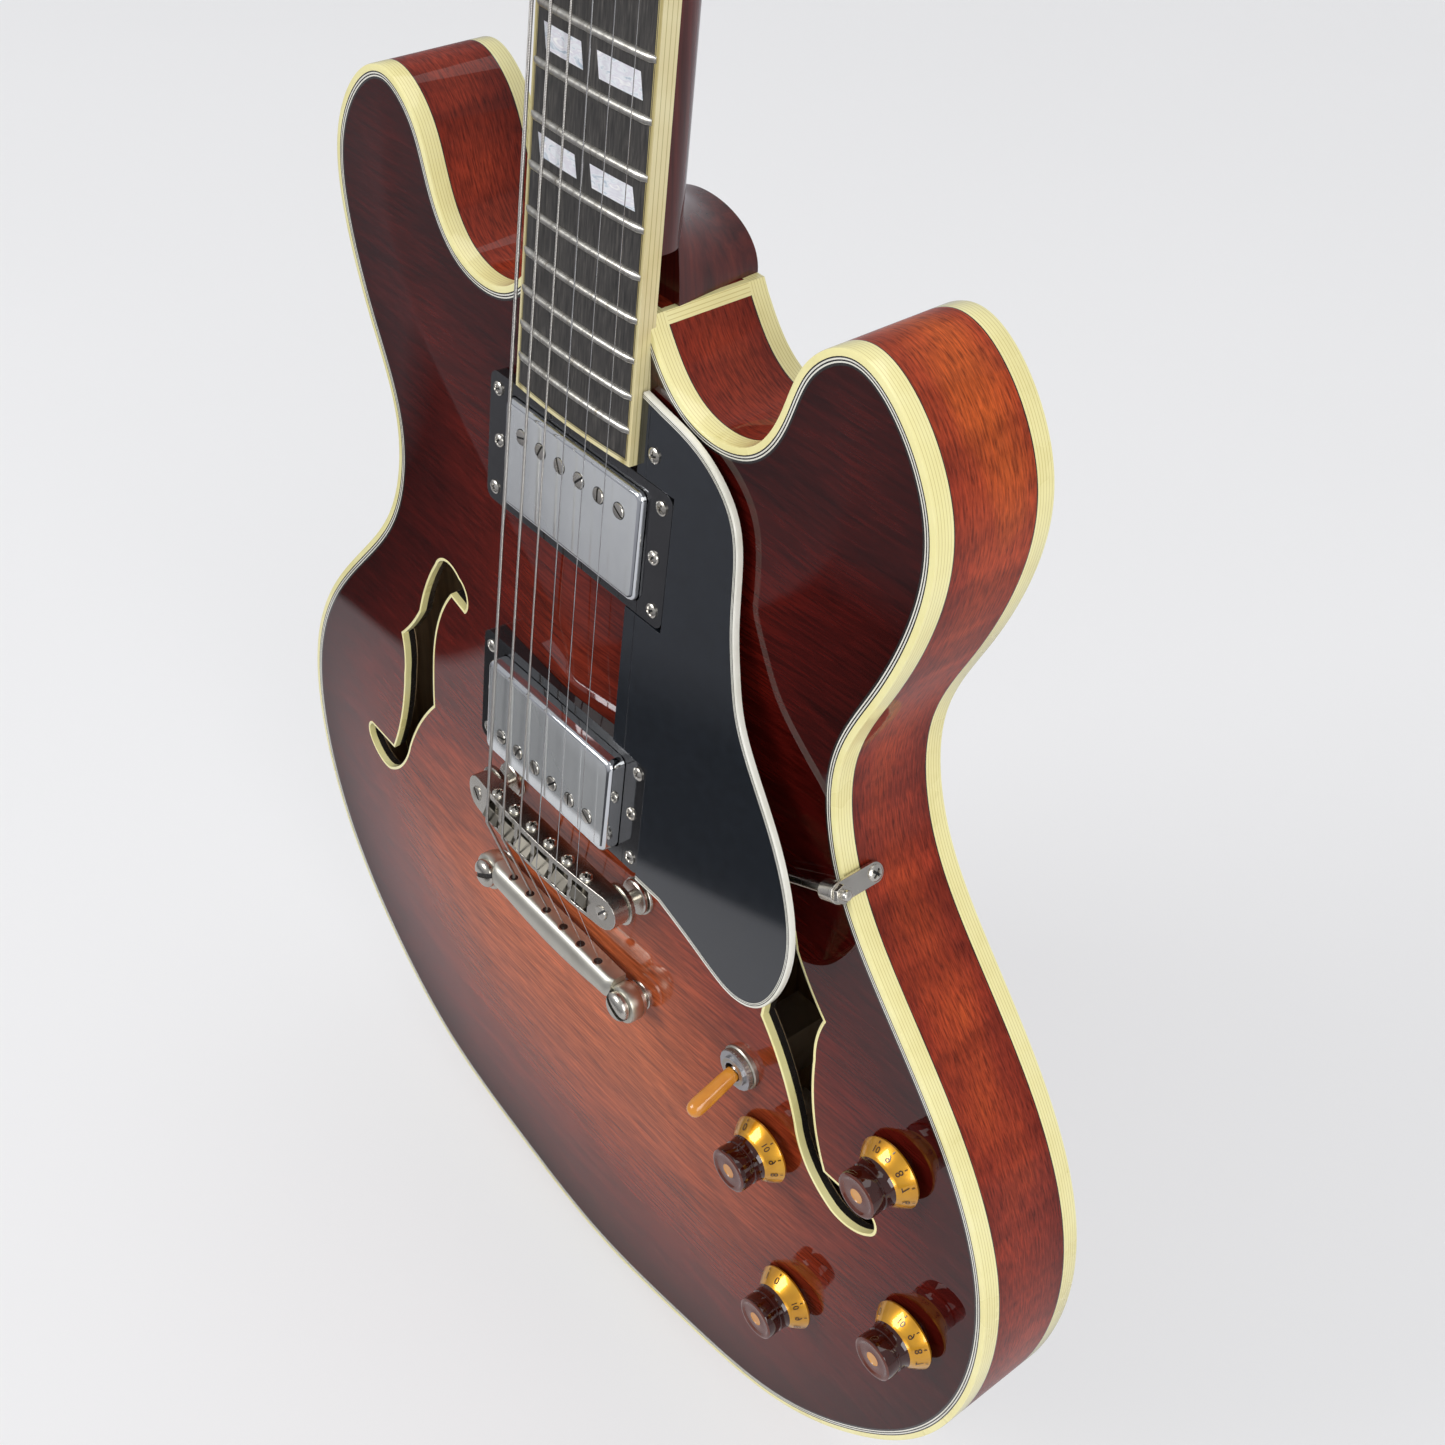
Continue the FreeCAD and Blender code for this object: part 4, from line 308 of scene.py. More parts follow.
def lacquer_rim():
    """Lacquer of the rim: clouds and flames along the run round the body, darker near both bindings."""
    made, tree, shader = finish("rim_lacquer", rough=0.5, coat=0.5, coat_rough=0.01, specular=0.05)
    run = attribute(tree, "run")
    depth = axes_of(tree)[1]
    joined = tree.nodes.new("ShaderNodeCombineXYZ")
    tree.links.new(run, joined.inputs[0])
    tree.links.new(depth, joined.inputs[1])
    flames = noise(tree, place_of(tree, (75, 6, 1), vector=joined.outputs[0]), 1.0, 2.0, 0.5, 0.8)
    grain = noise(tree, place_of(tree, (170, 1500, 1), vector=joined.outputs[0]), 1.0, 4.0, 0.65, 0.3)
    cloud = noise(tree, place_of(tree, (6, 10, 1), vector=joined.outputs[0]), 1.0, 4.0, 0.6, 0.3)
    from_middle = maths(tree, "ABSOLUTE", maths(tree, "MULTIPLY", depth, 1 / 0.0148))
    shade = maths(tree, "MULTIPLY_ADD", maths(tree, "POWER", from_middle, 2.2), -0.13, 0.045)
    patches = maths(tree, "ADD", cloud, shade)
    colour = ramp_node(tree, patches, [(0.30, (0.130, 0.0120, 0.0060)), (0.48, (0.230, 0.0270, 0.0110)),
                                       (0.60, (0.320, 0.0440, 0.0130)), (0.76, (0.560, 0.1150, 0.0140))])
    colour = mixed(tree, 0.5, colour, ramp_node(tree, flames, [
        (0.32, (0.55, 0.48, 0.46)), (0.5, (1, 1, 1)), (0.72, (1.45, 1.4, 1.3))]), "MULTIPLY")
    colour = mixed(tree, 0.95, colour, ramp_node(tree, grain, [
        (0.34, (0.45, 0.42, 0.40)), (0.50, (1, 1, 1)), (0.64, (1.45, 1.42, 1.35))]), "MULTIPLY")
    tint(tree, shader, colour)
    bumped(tree, shader, grain, 0.05, 0.00004)
    return made


rim_lacquer = lacquer_rim()


def lacquer_neck():
    made, tree, shader = finish("neck_lacquer", rough=0.45, coat=1.0, coat_rough=0.012, specular=0.1)
    streaks = noise(tree, place_of(tree, (330, 330, 14)), 1.0, 5.0, 0.6, 0.4)
    cloud = noise(tree, place_of(tree, (22, 22, 9)), 1.0, 2.0, 0.5)
    colour = ramp_node(tree, streaks, [(0.28, (0.034, 0.0030, 0.0022)), (0.52, (0.090, 0.0090, 0.0060)),
                                       (0.75, (0.150, 0.0200, 0.0110))])
    tint(tree, shader, mixed(tree, 0.6, colour, ramp_node(tree, cloud, [
        (0.3, (0.55, 0.5, 0.5)), (0.7, (1.3, 1.25, 1.2))]), "MULTIPLY"))
    return made


neck_lacquer = lacquer_neck()


raw_wood = speckled("raw_wood", [(0.25, (0.30, 0.19, 0.10)), (0.6, (0.50, 0.35, 0.20))], (300, 300, 12), 5.0,
                    0.6, 0.3,
                    bump=(0.15, 0.0001), rough=0.7)

PLY = 1.05
CREAM_TONES = ((0.88, 0.79, 0.35), (0.94, 0.86, 0.41), (0.97, 0.91, 0.48))


def cream(name, axis=None, tones=CREAM_TONES):
    """Aged cream plastic; with an axis, its thin darker glue lines lie across that axis."""
    made, tree, shader = finish(name, rough=0.28, coat=0.8, coat_rough=0.05)
    cloud = noise(tree, place_of(tree, (40, 40, 40)), 1.0, 3.0, 0.6)
    colour = ramp_node(tree, cloud, [(0.30, tones[0]), (0.50, tones[1]), (0.72, tones[2])])
    if axis is not None:
        share = maths(tree, "FRACT", maths(tree, "MULTIPLY", axes_of(tree)[axis], 1000.0 / PLY))
        line = ramp_node(tree, share, [(0.0, (0.72, 0.66, 0.46)), (0.17, (1, 1, 1)), (0.86, (1, 1, 1)),
                                       (1.0, (0.72, 0.66, 0.46))])
        colour = mixed(tree, 1.0, colour, line, "MULTIPLY")
    tint(tree, shader, colour)
    rough_by(tree, shader, cloud, 0.22, 0.36)
    return made


cream_plain = cream("cream_plain")
cream_plies = cream("cream_plies", 1)
cream_end = cream("cream_end", 2)


def board_edge():
    """Binding of the board: cream sides with glue lines, and thin black and white lines inside."""
    made, tree, shader = finish("board_edge", rough=0.30, coat=0.6, coat_rough=0.06)
    x, y, z = axes_of(tree)
    side = maths(tree, "ABSOLUTE", x)
    slope = (BOARD_HALF_END - BOARD_HALF_NUT) / (SCALE - BOARD_END)
    start = (BOARD_HALF_NUT + slope * (SCALE + TAIL_TO_BRIDGE / NECK_COS)) * MM
    reach = maths(tree, "MULTIPLY_ADD", z, -slope / NECK_COS, start)
    inset = maths(tree, "MULTIPLY", maths(tree, "SUBTRACT", reach, side), 1000.0)
    end_place = on_neck(0, 0, BOARD_END).z
    end_inset = maths(tree, "MULTIPLY_ADD", z, 1000.0, -end_place * 1000.0)
    nearest = maths(tree, "MULTIPLY", maths(tree, "MINIMUM", inset, maths(tree, "MAXIMUM", end_inset, 0.0)),
                    0.5)
    cloud = noise(tree, place_of(tree, (40, 40, 40)), 1.0, 3.0, 0.6)
    base = ramp_node(tree, cloud, [(0.30, (0.68, 0.58, 0.29)), (0.70, (0.80, 0.73, 0.44))])
    black, white = (0.02, 0.018, 0.016), (0.74, 0.72, 0.62)
    lines = ramp_node(tree, nearest, [(0.0, (1, 1, 1)), (0.62, black), (0.72, white), (0.86, black)], True)
    rise = maths(tree, "MULTIPLY_ADD", y, -1000.0 * NECK_COS,
                 maths(tree, "MULTIPLY", z, 1000.0 * NECK_SIN))
    share = maths(tree, "FRACT", maths(tree, "MULTIPLY_ADD", rise, 1 / 1.6, 0.1))
    plies = ramp_node(tree, share, [(0.0, (0.55, 0.5, 0.32)), (0.12, (1, 1, 1)), (0.9, (1, 1, 1)),
                                    (1.0, (0.55, 0.5, 0.32))])
    colour = mixed(tree, 1.0, mixed(tree, 1.0, base, plies, "MULTIPLY"), lines, "MULTIPLY")
    tint(tree, shader, colour)
    return made


board_binding = board_edge()


ebony = speckled("ebony", [(0.30, (0.010, 0.009, 0.008)), (0.55, (0.042, 0.038, 0.034)),
                           (0.75, (0.095, 0.085, 0.075))],
                 (1400, 1400, 16), 4.0, 0.65, 0.2, spread=(0.34, 0.55), bump=(0.25,
                                                                              0.0001), rough=0.42, coat=0.25,
                 coat_rough=0.25)
pearl = speckled("pearl", [(0.30, (0.45, 0.52, 0.60)), (0.46, (0.80, 0.82, 0.84)), (0.58, (0.70, 0.68, 0.74)),
                           (0.72, (0.92, 0.92, 0.90))],
                 (150, 150, 420), 2.0, 0.5, 1.6, (0, 0.5, 0), rough=0.22, coat=0.6, coat_rough=0.05)


def bright_metal(name, colour, low, high, scale=(60, 60, 60), worn=(0.6, 0.57, 0.52), mirror=1.0):
    made, tree, shader = finish(name, colour, metal=1.0)
    smear = noise(tree, place_of(tree, scale), 1.0, 4.0, 0.6, 0.3)
    rough_by(tree, shader, smear, low, high)
    tint(tree, shader, ramp_node(tree, smear, [(0.25, tuple(c * w for c, w in zip(colour, worn))),
                                               (0.50, colour), (0.8,
                                                                tuple(min(c * 1.08, 1) for c in colour))]))
    fine = noise(tree, place_of(tree, (900, 900, 900)), 1.0, 2.0)
    shader.inputs["Metallic"].default_value = mirror
    bumped(tree, shader, fine, 0.06, 0.00003)
    return made


nickel = bright_metal("nickel", (0.64, 0.61, 0.55), 0.16, 0.34, (90, 90, 90), (0.80, 0.77, 0.72))
satin = bright_metal("satin", (0.50, 0.47, 0.41), 0.30, 0.50, (60, 60, 60), (0.80, 0.77, 0.72))
chrome = bright_metal("chrome", (0.80, 0.82, 0.84), 0.02, 0.08, (40, 40, 40), (0.94, 0.94, 0.95))
# Copy of the chrome for the covers' top faces, only partly metallic so they come out paler: painted sheen
# standing for the bright reflection on top.
chrome_painted_sheen_top = bright_metal("chrome_painted_sheen_top", (0.80, 0.82, 0.82), 0.02, 0.08, (40, 40, 40), (0.94, 0.94, 0.95),
                          0.72)
fret_metal = bright_metal("fret_metal", (0.62, 0.60, 0.55), 0.20, 0.42, (700, 90, 90), (0.7, 0.66, 0.6))
saddle_metal = bright_metal("saddle_metal", (0.20, 0.185, 0.155), 0.28, 0.45)
tail_metal = bright_metal("tail_metal", (0.70, 0.68, 0.60), 0.34, 0.46, (70, 70, 70), (0.88, 0.86, 0.82))
steel = bright_metal("steel", (0.50, 0.50, 0.51), 0.22, 0.42)


def wire_metal():
    made, tree, shader = finish("string_wire", (0.62, 0.61, 0.58), metal=1.0, rough=0.28)
    x, _, z = axes_of(tree)
    windings_and_groove_shade = maths(tree, "SINE", maths(tree, "MULTIPLY_ADD", z, 15000.0, maths(tree, "MULTIPLY", x, 4000.0)))
    # The colour follows the windings: darker in the grooves between wraps as painted shade; the same waves
    # give the relief.
    tint(tree, shader, ramp_node(tree, maths(tree, "MULTIPLY_ADD", windings_and_groove_shade, 0.5, 0.5), [
        (0.0, (0.30, 0.28, 0.26)), (1.0, (0.72, 0.70, 0.66))]))
    bumped(tree, shader, windings_and_groove_shade, 0.4, 0.0001)
    return made


wound_string = wire_metal()
plain_string = speckled("plain_wire", [(0.3, (0.45, 0.44, 0.43)), (0.7, (0.78, 0.78, 0.77))], (200, 200, 60),
                        spread=(0.15, 0.3), colour=(0.66, 0.66, 0.66), metal=1.0)


def gloss_black(name, colour=(0.010, 0.010, 0.011), rough=0.12):
    return speckled(name, [(0.3, colour), (0.78, tuple(c * 1.7 for c in colour))], (260, 260, 260), 5.0, 0.7,
                    spread=(rough * 0.8, rough * 1.8), colour=colour, rough=rough * 3, coat=1.0,
                    coat_rough=rough * 0.2, specular=0.2)


black_plastic = gloss_black("black_plastic")
guard_black = gloss_black("guard_black", (0.007, 0.009, 0.012), 0.08)
black_lacquer = gloss_black("black_lacquer", (0.012, 0.010, 0.010), 0.10)
line_black = gloss_black("line_black", (0.014, 0.012, 0.011), 0.2)
line_white = cream("line_white", tones=((0.74, 0.72, 0.60), (0.84, 0.82, 0.72), (0.90, 0.89, 0.80)))
# Near-black for slot floors, cross recesses, string holes and the gaps round the pole screws: painted shade in
# recesses and holes.
recess_painted_shade = gloss_black("recess_painted_shade", (0.004, 0.004, 0.004), 0.6)


def amber(name, dark, light, rough=0.08, metal=0.0):
    return speckled(name, [(0.25, dark), (0.75, light)], (120, 120, 120), 2.0, colour=light, rough=rough,
                    metal=metal,
                    coat=1.0, coat_rough=0.02, specular=0.2)


skirt_gold = amber("skirt_gold", (0.62, 0.27, 0.012), (0.86, 0.43, 0.025), 0.30, 0.7)
knob_amber = amber("knob_amber", (0.022, 0.0028, 0.0012), (0.048, 0.0060, 0.0022), 0.05)
knob_clear = amber("knob_clear", (0.085, 0.0190, 0.0110), (0.125, 0.0320, 0.0190), 0.10)
shaft_disc = amber("shaft_disc", (0.50, 0.20, 0.04), (0.70, 0.34, 0.08), 0.3)
number_ink = gloss_black("number_ink", (0.035, 0.012, 0.003), 0.4)
tip_amber = amber("tip_amber", (0.60, 0.21, 0.018), (0.78, 0.33, 0.04), 0.25)
bone = speckled("bone", [(0.3, (0.68, 0.62, 0.48)), (0.7, (0.84, 0.80, 0.70))], (200, 80, 80),
                colour=(0.78, 0.74, 0.62), rough=0.4, coat=0.3)
coil_black = gloss_black("coil_parts", (0.03, 0.022, 0.018), 0.5)


# Shapes

BOX_FACES = [[0, 1, 3, 2], [4, 6, 7, 5], [0, 4, 5, 1], [2, 3, 7, 6], [0, 2, 6, 4], [1, 5, 7, 3]]


def grid_faces(rows, count, closed=True):
    """Quads between neighbouring rows of equally many points."""
    return [[r * count + k, r * count + (k + 1) % count, (r + 1) * count + (k + 1) % count,
             (r + 1) * count + k]
            for r in range(rows - 1) for k in range(count if closed else count - 1)]


class Form:
    """Collects parts of one piece: points in metres, faces and their materials."""

    def __init__(self):
        self.points, self.faces, self.kinds, self.extra = [], [], [], []

    def add(self, points, faces, kind=0, extra=None):
        start = len(self.points)
        self.points += [tuple(p) for p in points]
        self.extra += list(extra) if extra is not None else [0.0] * len(points)
        kinds = kind if isinstance(kind, list) else [kind] * len(faces)
        for face, k in zip(faces, kinds):
            self.faces.append([start + i for i in face])
            self.kinds.append(k)

    def lathe(self, profile, base, direction, kind=0, sides=48):
        """Turned part from (radius, height) points in millimetres; kind may be a list, one per segment."""
        rotation = UP.rotation_difference(direction).to_matrix()
        points, faces, kinds, rows = [], [], [], []
        for radius, height in profile:
            if radius <= 0:
                rows.append([len(points)])
                points.append(base + rotation @ Vector((0, 0, height)) * MM)
                continue
            rows.append(list(range(len(points), len(points) + sides)))
            for k in range(sides):
                angle = 2 * math.pi * k / sides
                points.append(base + rotation @ Vector((radius * math.cos(angle), radius * math.sin(angle),
                                                        height)) * MM)
        for index, (a, b) in enumerate(zip(rows, rows[1:])):
            k_kind = kind[index] if isinstance(kind, list) else kind
            for k in range(sides):
                n = (k + 1) % sides
                if len(a) == 1 and len(b) == 1:
                    break
                if len(a) == 1:
                    faces.append([a[0], b[n], b[k]])
                elif len(b) == 1:
                    faces.append([a[k], a[n], b[0]])
                else:
                    faces.append([a[k], a[n], b[n], b[k]])
                kinds.append(k_kind)
        self.add(points, faces, kinds)

    def tube(self, path, radius, kind=0, sides=10):
        """Round wire along points in metres, closed at both ends."""
        points = []
        count = len(path)
        normal = None
        for k, point in enumerate(path):
            ahead = (path[min(k + 1, count - 1)] - path[max(k - 1, 0)]).normalized()
            if normal is None:
                normal = ahead.orthogonal().normalized()
            normal = (normal - ahead * normal.dot(ahead)).normalized()
            across = ahead.cross(normal)
            for s in range(sides):
                angle = 2 * math.pi * s / sides
                points.append(point + (normal * math.cos(angle) + across * math.sin(angle)) * radius * MM)
        faces = grid_faces(count, sides)
        faces.append(list(range(sides))[::-1])
        faces.append([(count - 1) * sides + s for s in range(sides)])
        self.add(points, faces, kind)

    def slab(self, outline, low, high, kind=0):
        """Plate between two copies of a closed outline: low(p) and high(p) give points in metres."""
        count = len(outline)
        points = [low(p) for p in outline] + [high(p) for p in outline]
        faces = [list(range(count))[::-1], [count + k for k in range(count)]]
        faces += [[k, (k + 1) % count, count + (k + 1) % count, count + k] for k in range(count)]
        self.add(points, faces, kind)

    def build(self, name, materials, body=ROOT, replaces=(), angle=32, bevel=0.0,
              attribute_name=None, recalc=True):
        mesh = bpy.data.meshes.new(name)
        mesh.from_pydata(self.points, [], self.faces)
        for material in materials:
            mesh.materials.append(material)
        mesh.polygons.foreach_set("material_index", self.kinds)
        if attribute_name:
            mesh.attributes.new(attribute_name, "FLOAT", "POINT").data.foreach_set("value", self.extra)
        mesh.validate()
        work = bmesh.new()
        work.from_mesh(mesh)
        bmesh.ops.remove_doubles(work, verts=work.verts, dist=2e-7)
        if recalc:
            bmesh.ops.recalc_face_normals(work, faces=work.faces)
        work.to_mesh(mesh)
        work.free()
        mesh.shade_smooth()
        mesh.set_sharp_from_angle(angle=math.radians(angle))
        made = bpy.data.objects.new(name, mesh)
        bpy.context.scene.collection.objects.link(made)
        if bevel:
            round_edges(made, bevel)
        return dressed(made, body, replaces)


def round_edges(made, width, segments=2, angle=35):
    edge = made.modifiers.new("edges", "BEVEL")
    edge.width = width * MM
    edge.segments = segments
    edge.limit_method = "ANGLE"
    edge.angle_limit = math.radians(angle)
    edge.use_clamp_overlap = True
    edge.harden_normals = False
    weighted = made.modifiers.new("normals", "WEIGHTED_NORMAL")
    weighted.keep_sharp = True


def dressed(made, body, replaces):
    """Let a piece ride on its body, if it has one, and hide the CAD parts it stands for."""
    if body:
        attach(made, body)
    if replaces:
        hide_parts(*replaces)
    return made


def from_cad(nodes, name, material, body=ROOT, bevel=0.25, angle=32, segments=2):
    """Copy of CAD nodes with welded, softened edges, which stands for them."""
    work = bmesh.new()
    for node in nodes:
        work.from_mesh(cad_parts[node].data)
    bmesh.ops.remove_doubles(work, verts=work.verts, dist=3e-6)
    bmesh.ops.dissolve_limit(work, angle_limit=0.02, verts=work.verts, edges=work.edges)
    mesh = bpy.data.meshes.new(name)
    work.to_mesh(mesh)
    work.free()
    mesh.materials.clear()
    mesh.materials.append(material)
    mesh.polygons.foreach_set("material_index", [0] * len(mesh.polygons))
    mesh.shade_smooth()
    mesh.set_sharp_from_angle(angle=math.radians(angle))
    made = bpy.data.objects.new(name, mesh)
    bpy.context.scene.collection.objects.link(made)
    if bevel:
        round_edges(made, bevel, segments, angle)
    return dressed(made, body, nodes)


def spline(points, step):
    """Smooth curve through points, sampled every step; natural ends."""
    data = np.array(points, float)
    run = np.concatenate([[0], np.cumsum(np.sqrt(np.hypot(*np.diff(data, axis=0).T)))])
    count = len(data)
    gaps = np.diff(run)
    system = np.eye(count)
    right = np.zeros((count, 2))
    for k in range(1, count - 1):
        system[k, k - 1:k + 2] = gaps[k - 1], 2 * (gaps[k - 1] + gaps[k]), gaps[k]
        right[k] = 6 * ((data[k + 1] - data[k]) / gaps[k] - (data[k] - data[k - 1]) / gaps[k - 1])
    bend = np.linalg.solve(system, right)
    found = []
    for k in range(count - 1):
        size = max(2, int(np.hypot(*(data[k + 1] - data[k])) / step) + 1)
        for t in np.linspace(0, 1, size, endpoint=False):
            a, b, h = 1 - t, t, gaps[k]
            found.append(a * data[k] + b * data[k + 1] +
                         ((a ** 3 - a) * bend[k] + (b ** 3 - b) * bend[k + 1]) * h * h / 6)
    found.append(data[-1])
    return np.array(found)


def rights_of(loop, closed=True):
    """Unit normals to the right of travel at each point of a loop, with a mitre factor."""
    before = loop - np.roll(loop, 1, axis=0)
    after = np.roll(loop, -1, axis=0) - loop
    if not closed:
        before[0], after[-1] = after[0], before[-1]
    before /= np.linalg.norm(before, axis=1)[:, None]
    after /= np.linalg.norm(after, axis=1)[:, None]
    a = np.stack([before[:, 1], -before[:, 0]], 1)
    b = np.stack([after[:, 1], -after[:, 0]], 1)
    joined = a + b
    return joined / np.maximum((joined ** 2).sum(1) / 2, 0.3)[:, None]


right_half = [(x * HALF_WIDTH, z * LENGTH) for x, z in OUTLINE_SHARES]
whole = [(-x, z) for x, z in reversed(right_half[1:])] + right_half
joint_x = BOARD_HALF_END - 2.2
curve = spline(whole, 1.6)
corner_run = np.array([(joint_x, NECK_JOINT), (joint_x * 0.5, NECK_JOINT), (0, NECK_JOINT),
                       (-joint_x * 0.5, NECK_JOINT), (-joint_x, NECK_JOINT)])
outline = np.vstack([curve, corner_run])
outward = rights_of(outline)


def distance_to(loop, points):
    """Distance from each point to a closed loop."""
    starts, ends = loop, np.roll(loop, -1, axis=0)
    runs = ends - starts
    lengths = (runs ** 2).sum(1)
    found = []
    for chunk in np.array_split(points, max(1, len(points) // 1500)):
        steps = ((chunk[:, None] - starts) * runs).sum(2) / lengths
        nearest = starts + np.clip(steps, 0, 1)[..., None] * runs
        found.append(np.sqrt(((chunk[:, None] - nearest) ** 2).sum(2).min(1)))
    return np.concatenate(found)


def inside(loop, points):
    x, z = points[:, 0][:, None], points[:, 1][:, None]
    a, b = loop, np.roll(loop, -1, axis=0)
    with np.errstate(divide="ignore", invalid="ignore"):
        cross = ((a[:, 1] > z) != (b[:, 1] > z)) & (
            x < a[:, 0] + (z - a[:, 1]) * (b[:, 0] - a[:, 0]) / (b[:, 1] - a[:, 1]))
    return cross.sum(1) % 2 == 1


def arch(points, rise):
    away = distance_to(outline, points)
    share = np.clip((away - ARCH_BORDER) / ARCH_RUN, 0, 1)
    return rise * (share * share * (3 - 2 * share)) ** 0.85, away


def plate(name, loop, holes, rise, side, face_y, material, node, spacing):
    """Arched plate, filled between its edge and its holes, with its lower face."""
    grid_x = np.arange(-HALF_WIDTH, HALF_WIDTH, spacing)
    grid_z = np.arange(0, LENGTH, spacing * 0.95)
    grid = np.array([(x + (k % 2) * spacing / 2, z) for k, z in enumerate(grid_z) for x in grid_x])
    keep = inside(loop, grid) & (distance_to(loop, grid) > spacing * 0.6)
    for hole in holes:
        keep &= ~inside(hole, grid) & (distance_to(hole, grid) > spacing * 0.55)
    loops = [loop] + holes
    fixed, edges = [], []
    for one in loops:
        start = len(fixed)
        fixed += [tuple(p) for p in one]
        edges += [(start + k, start + (k + 1) % len(one)) for k in range(len(one))]
    coords = [Vector(p) for p in fixed] + [Vector(p) for p in grid[keep]]
    found = delaunay_2d_cdt(coords, edges, [], 0, 1e-5)
    flat = np.array([tuple(p) for p in found[0]])
    faces = [list(f) for f in found[2]]
    middles = np.array([flat[f].mean(0) for f in faces])
    wanted = inside(loop, middles)
    for hole in holes:
        wanted &= ~inside(hole, middles)
    faces = [f for f, w in zip(faces, wanted) if w]
    heights, away = arch(flat, rise)
    y_face = face_y + side * heights
    form = Form()
    top_points = [(x * MM, y * MM, z * MM) for (x, z), y in zip(flat, y_face)]
    low_points = [(x * MM, (y - side * PLATE) * MM, z * MM) for (x, z), y in zip(flat, y_face)]
    share = np.clip(away / ARCH_RUN, 0, 1)
    count = len(flat)
    sides = {(a, b): None for face in faces for a, b in zip(face, face[1:] + face[:1])}
    walls = [[a, b, b + count, a + count] for a, b in sides if (b, a) not in sides]
    lower = [[v + count for v in face][::-1] for face in faces]
    form.add(top_points + low_points, faces + lower + walls,
             [0] * len(faces) + [1] * (len(lower) + len(walls)),
             list(share) + list(share))
    form.build(name, [material, raw_wood], ROOT, [node], 40, attribute_name="edge")


def arc_points(a, b, c, step):
    """Points on the arc through three points, from the first up to the last."""
    (ax, ay), (bx, by), (cx, cy) = a, b, c
    d = 2 * (ax * (by - cy) + bx * (cy - ay) + cx * (ay - by))
    aa, bb, cc = ax * ax + ay * ay, bx * bx + by * by, cx * cx + cy * cy
    ux = (aa * (by - cy) + bb * (cy - ay) + cc * (ay - by)) / d
    uy = (aa * (cx - bx) + bb * (ax - cx) + cc * (bx - ax)) / d
    radius = math.hypot(ax - ux, ay - uy)
    angles = [math.atan2(y - uy, x - ux) for x, y in (a, b, c)]
    sweep = (angles[2] - angles[0]) % (2 * math.pi)
    if (angles[1] - angles[0]) % (2 * math.pi) > sweep:
        sweep -= 2 * math.pi
    size = max(3, int(abs(sweep) * radius / step))
    return [(ux + radius * math.cos(angles[0] + sweep * k / size),
             uy + radius * math.sin(angles[0] + sweep * k / size))
            for k in range(size)]


def soundhole_loop():
    loop = []
    for shares in SOUNDHOLE_SHARES:
        points = [(x * HALF_WIDTH, z * TAIL_TO_BRIDGE) for x, z in shares]
        if len(points) == 2:
            steps = max(2, int(math.dist(*points) / 0.8))
            loop += [tuple(np.array(points[0]) + (np.array(points[1]) - np.array(points[0])) * k / steps)
                     for k in range(steps)]
            continue
        for k in range(0, len(points) - 1, 2):
            loop += arc_points(*points[k:k + 3], 0.8)
    return np.array(loop)


def mirrored(loop):
    return (loop * [-1, 1])[::-1]


def band(loop, offsets, heights, form, kinds, extra=None, flip=False):
    """Strip of quads along a closed loop: offsets move it to its right, heights(line, k) gives each y."""
    normals = rights_of(loop)
    count = len(loop)
    points, values = [], []
    for k, offset in enumerate(offsets):
        line = loop + normals * offset
        ys = heights(line, k)
        points += [(x * MM, y * MM, z * MM) for (x, z), y in zip(line, ys)]
        values += list(extra) if extra is not None else [0.0] * count
    faces = [face[::-1] if flip else face for face in grid_faces(len(offsets), count)]
    form.add(points, faces, [kind for kind in kinds for _ in range(count)], values)


def level_at(lines):
    """Heights of a band whose lines are level."""
    return lambda line, k: [lines[k]] * len(line)


def top_height(x, z):
    """Rise of the arched top at a place."""
    return arch(np.array([(x, z)]), TOP_ARCH)[0][0]


def top_rise(x, place):
    """The top's surface at a place along the strings, as a rise over the board's plane."""
    z = TAIL_TO_BRIDGE + place * NECK_COS
    return (top_height(x, z) - FRET_PLANE + place * NECK_SIN) / NECK_COS


# Body

arc_run = np.concatenate([[0], np.cumsum(np.hypot(*np.diff(outline, axis=0).T))]) * MM
top_loop = outline - outward * PURFLING_WIDTH
sound_right = soundhole_loop()
sound_right = sound_right - rights_of(sound_right) * 0.5
sound_left = mirrored(sound_right)
plate("top_face", top_loop, [sound_right, sound_left], TOP_ARCH, -1, FRONT_Y, top_lacquer, "top_plate",
      3.0)
plate("back_face", top_loop, [], BACK_ARCH, 1, BACK_Y, back_lacquer, "back_plate", 4.5)

ply_widths = [(1.55, 0), (0.42, 1), (0.42, 2), (0.42, 1), (0.42, 2), (0.75, 1)]
rings = Form()
for side, face in ((-1, FRONT_Y), (1, BACK_Y)):
    inner_y = face - side * BINDING_HEIGHT
    insets = [0.0, 0.0, 0.12, 0.55]
    lines = [inner_y, face - side * 0.55, face - side * 0.12, face]
    kinds = [3, 0, 0]
    place = 0.55
    for width, kind in ply_widths:
        place += width
        insets.append(place)
        lines.append(face)
        kinds.append(kind)
    insets += [place, 0.0]
    lines += [inner_y, inner_y]
    kinds += [0, 0]
    band(outline, [-i for i in insets], level_at(lines), rings, kinds, flip=side > 0)
rings.build("body_binding_rings", [cream_plain, line_black, line_white, cream_plies], ROOT, ["body_bindings"],
            28)

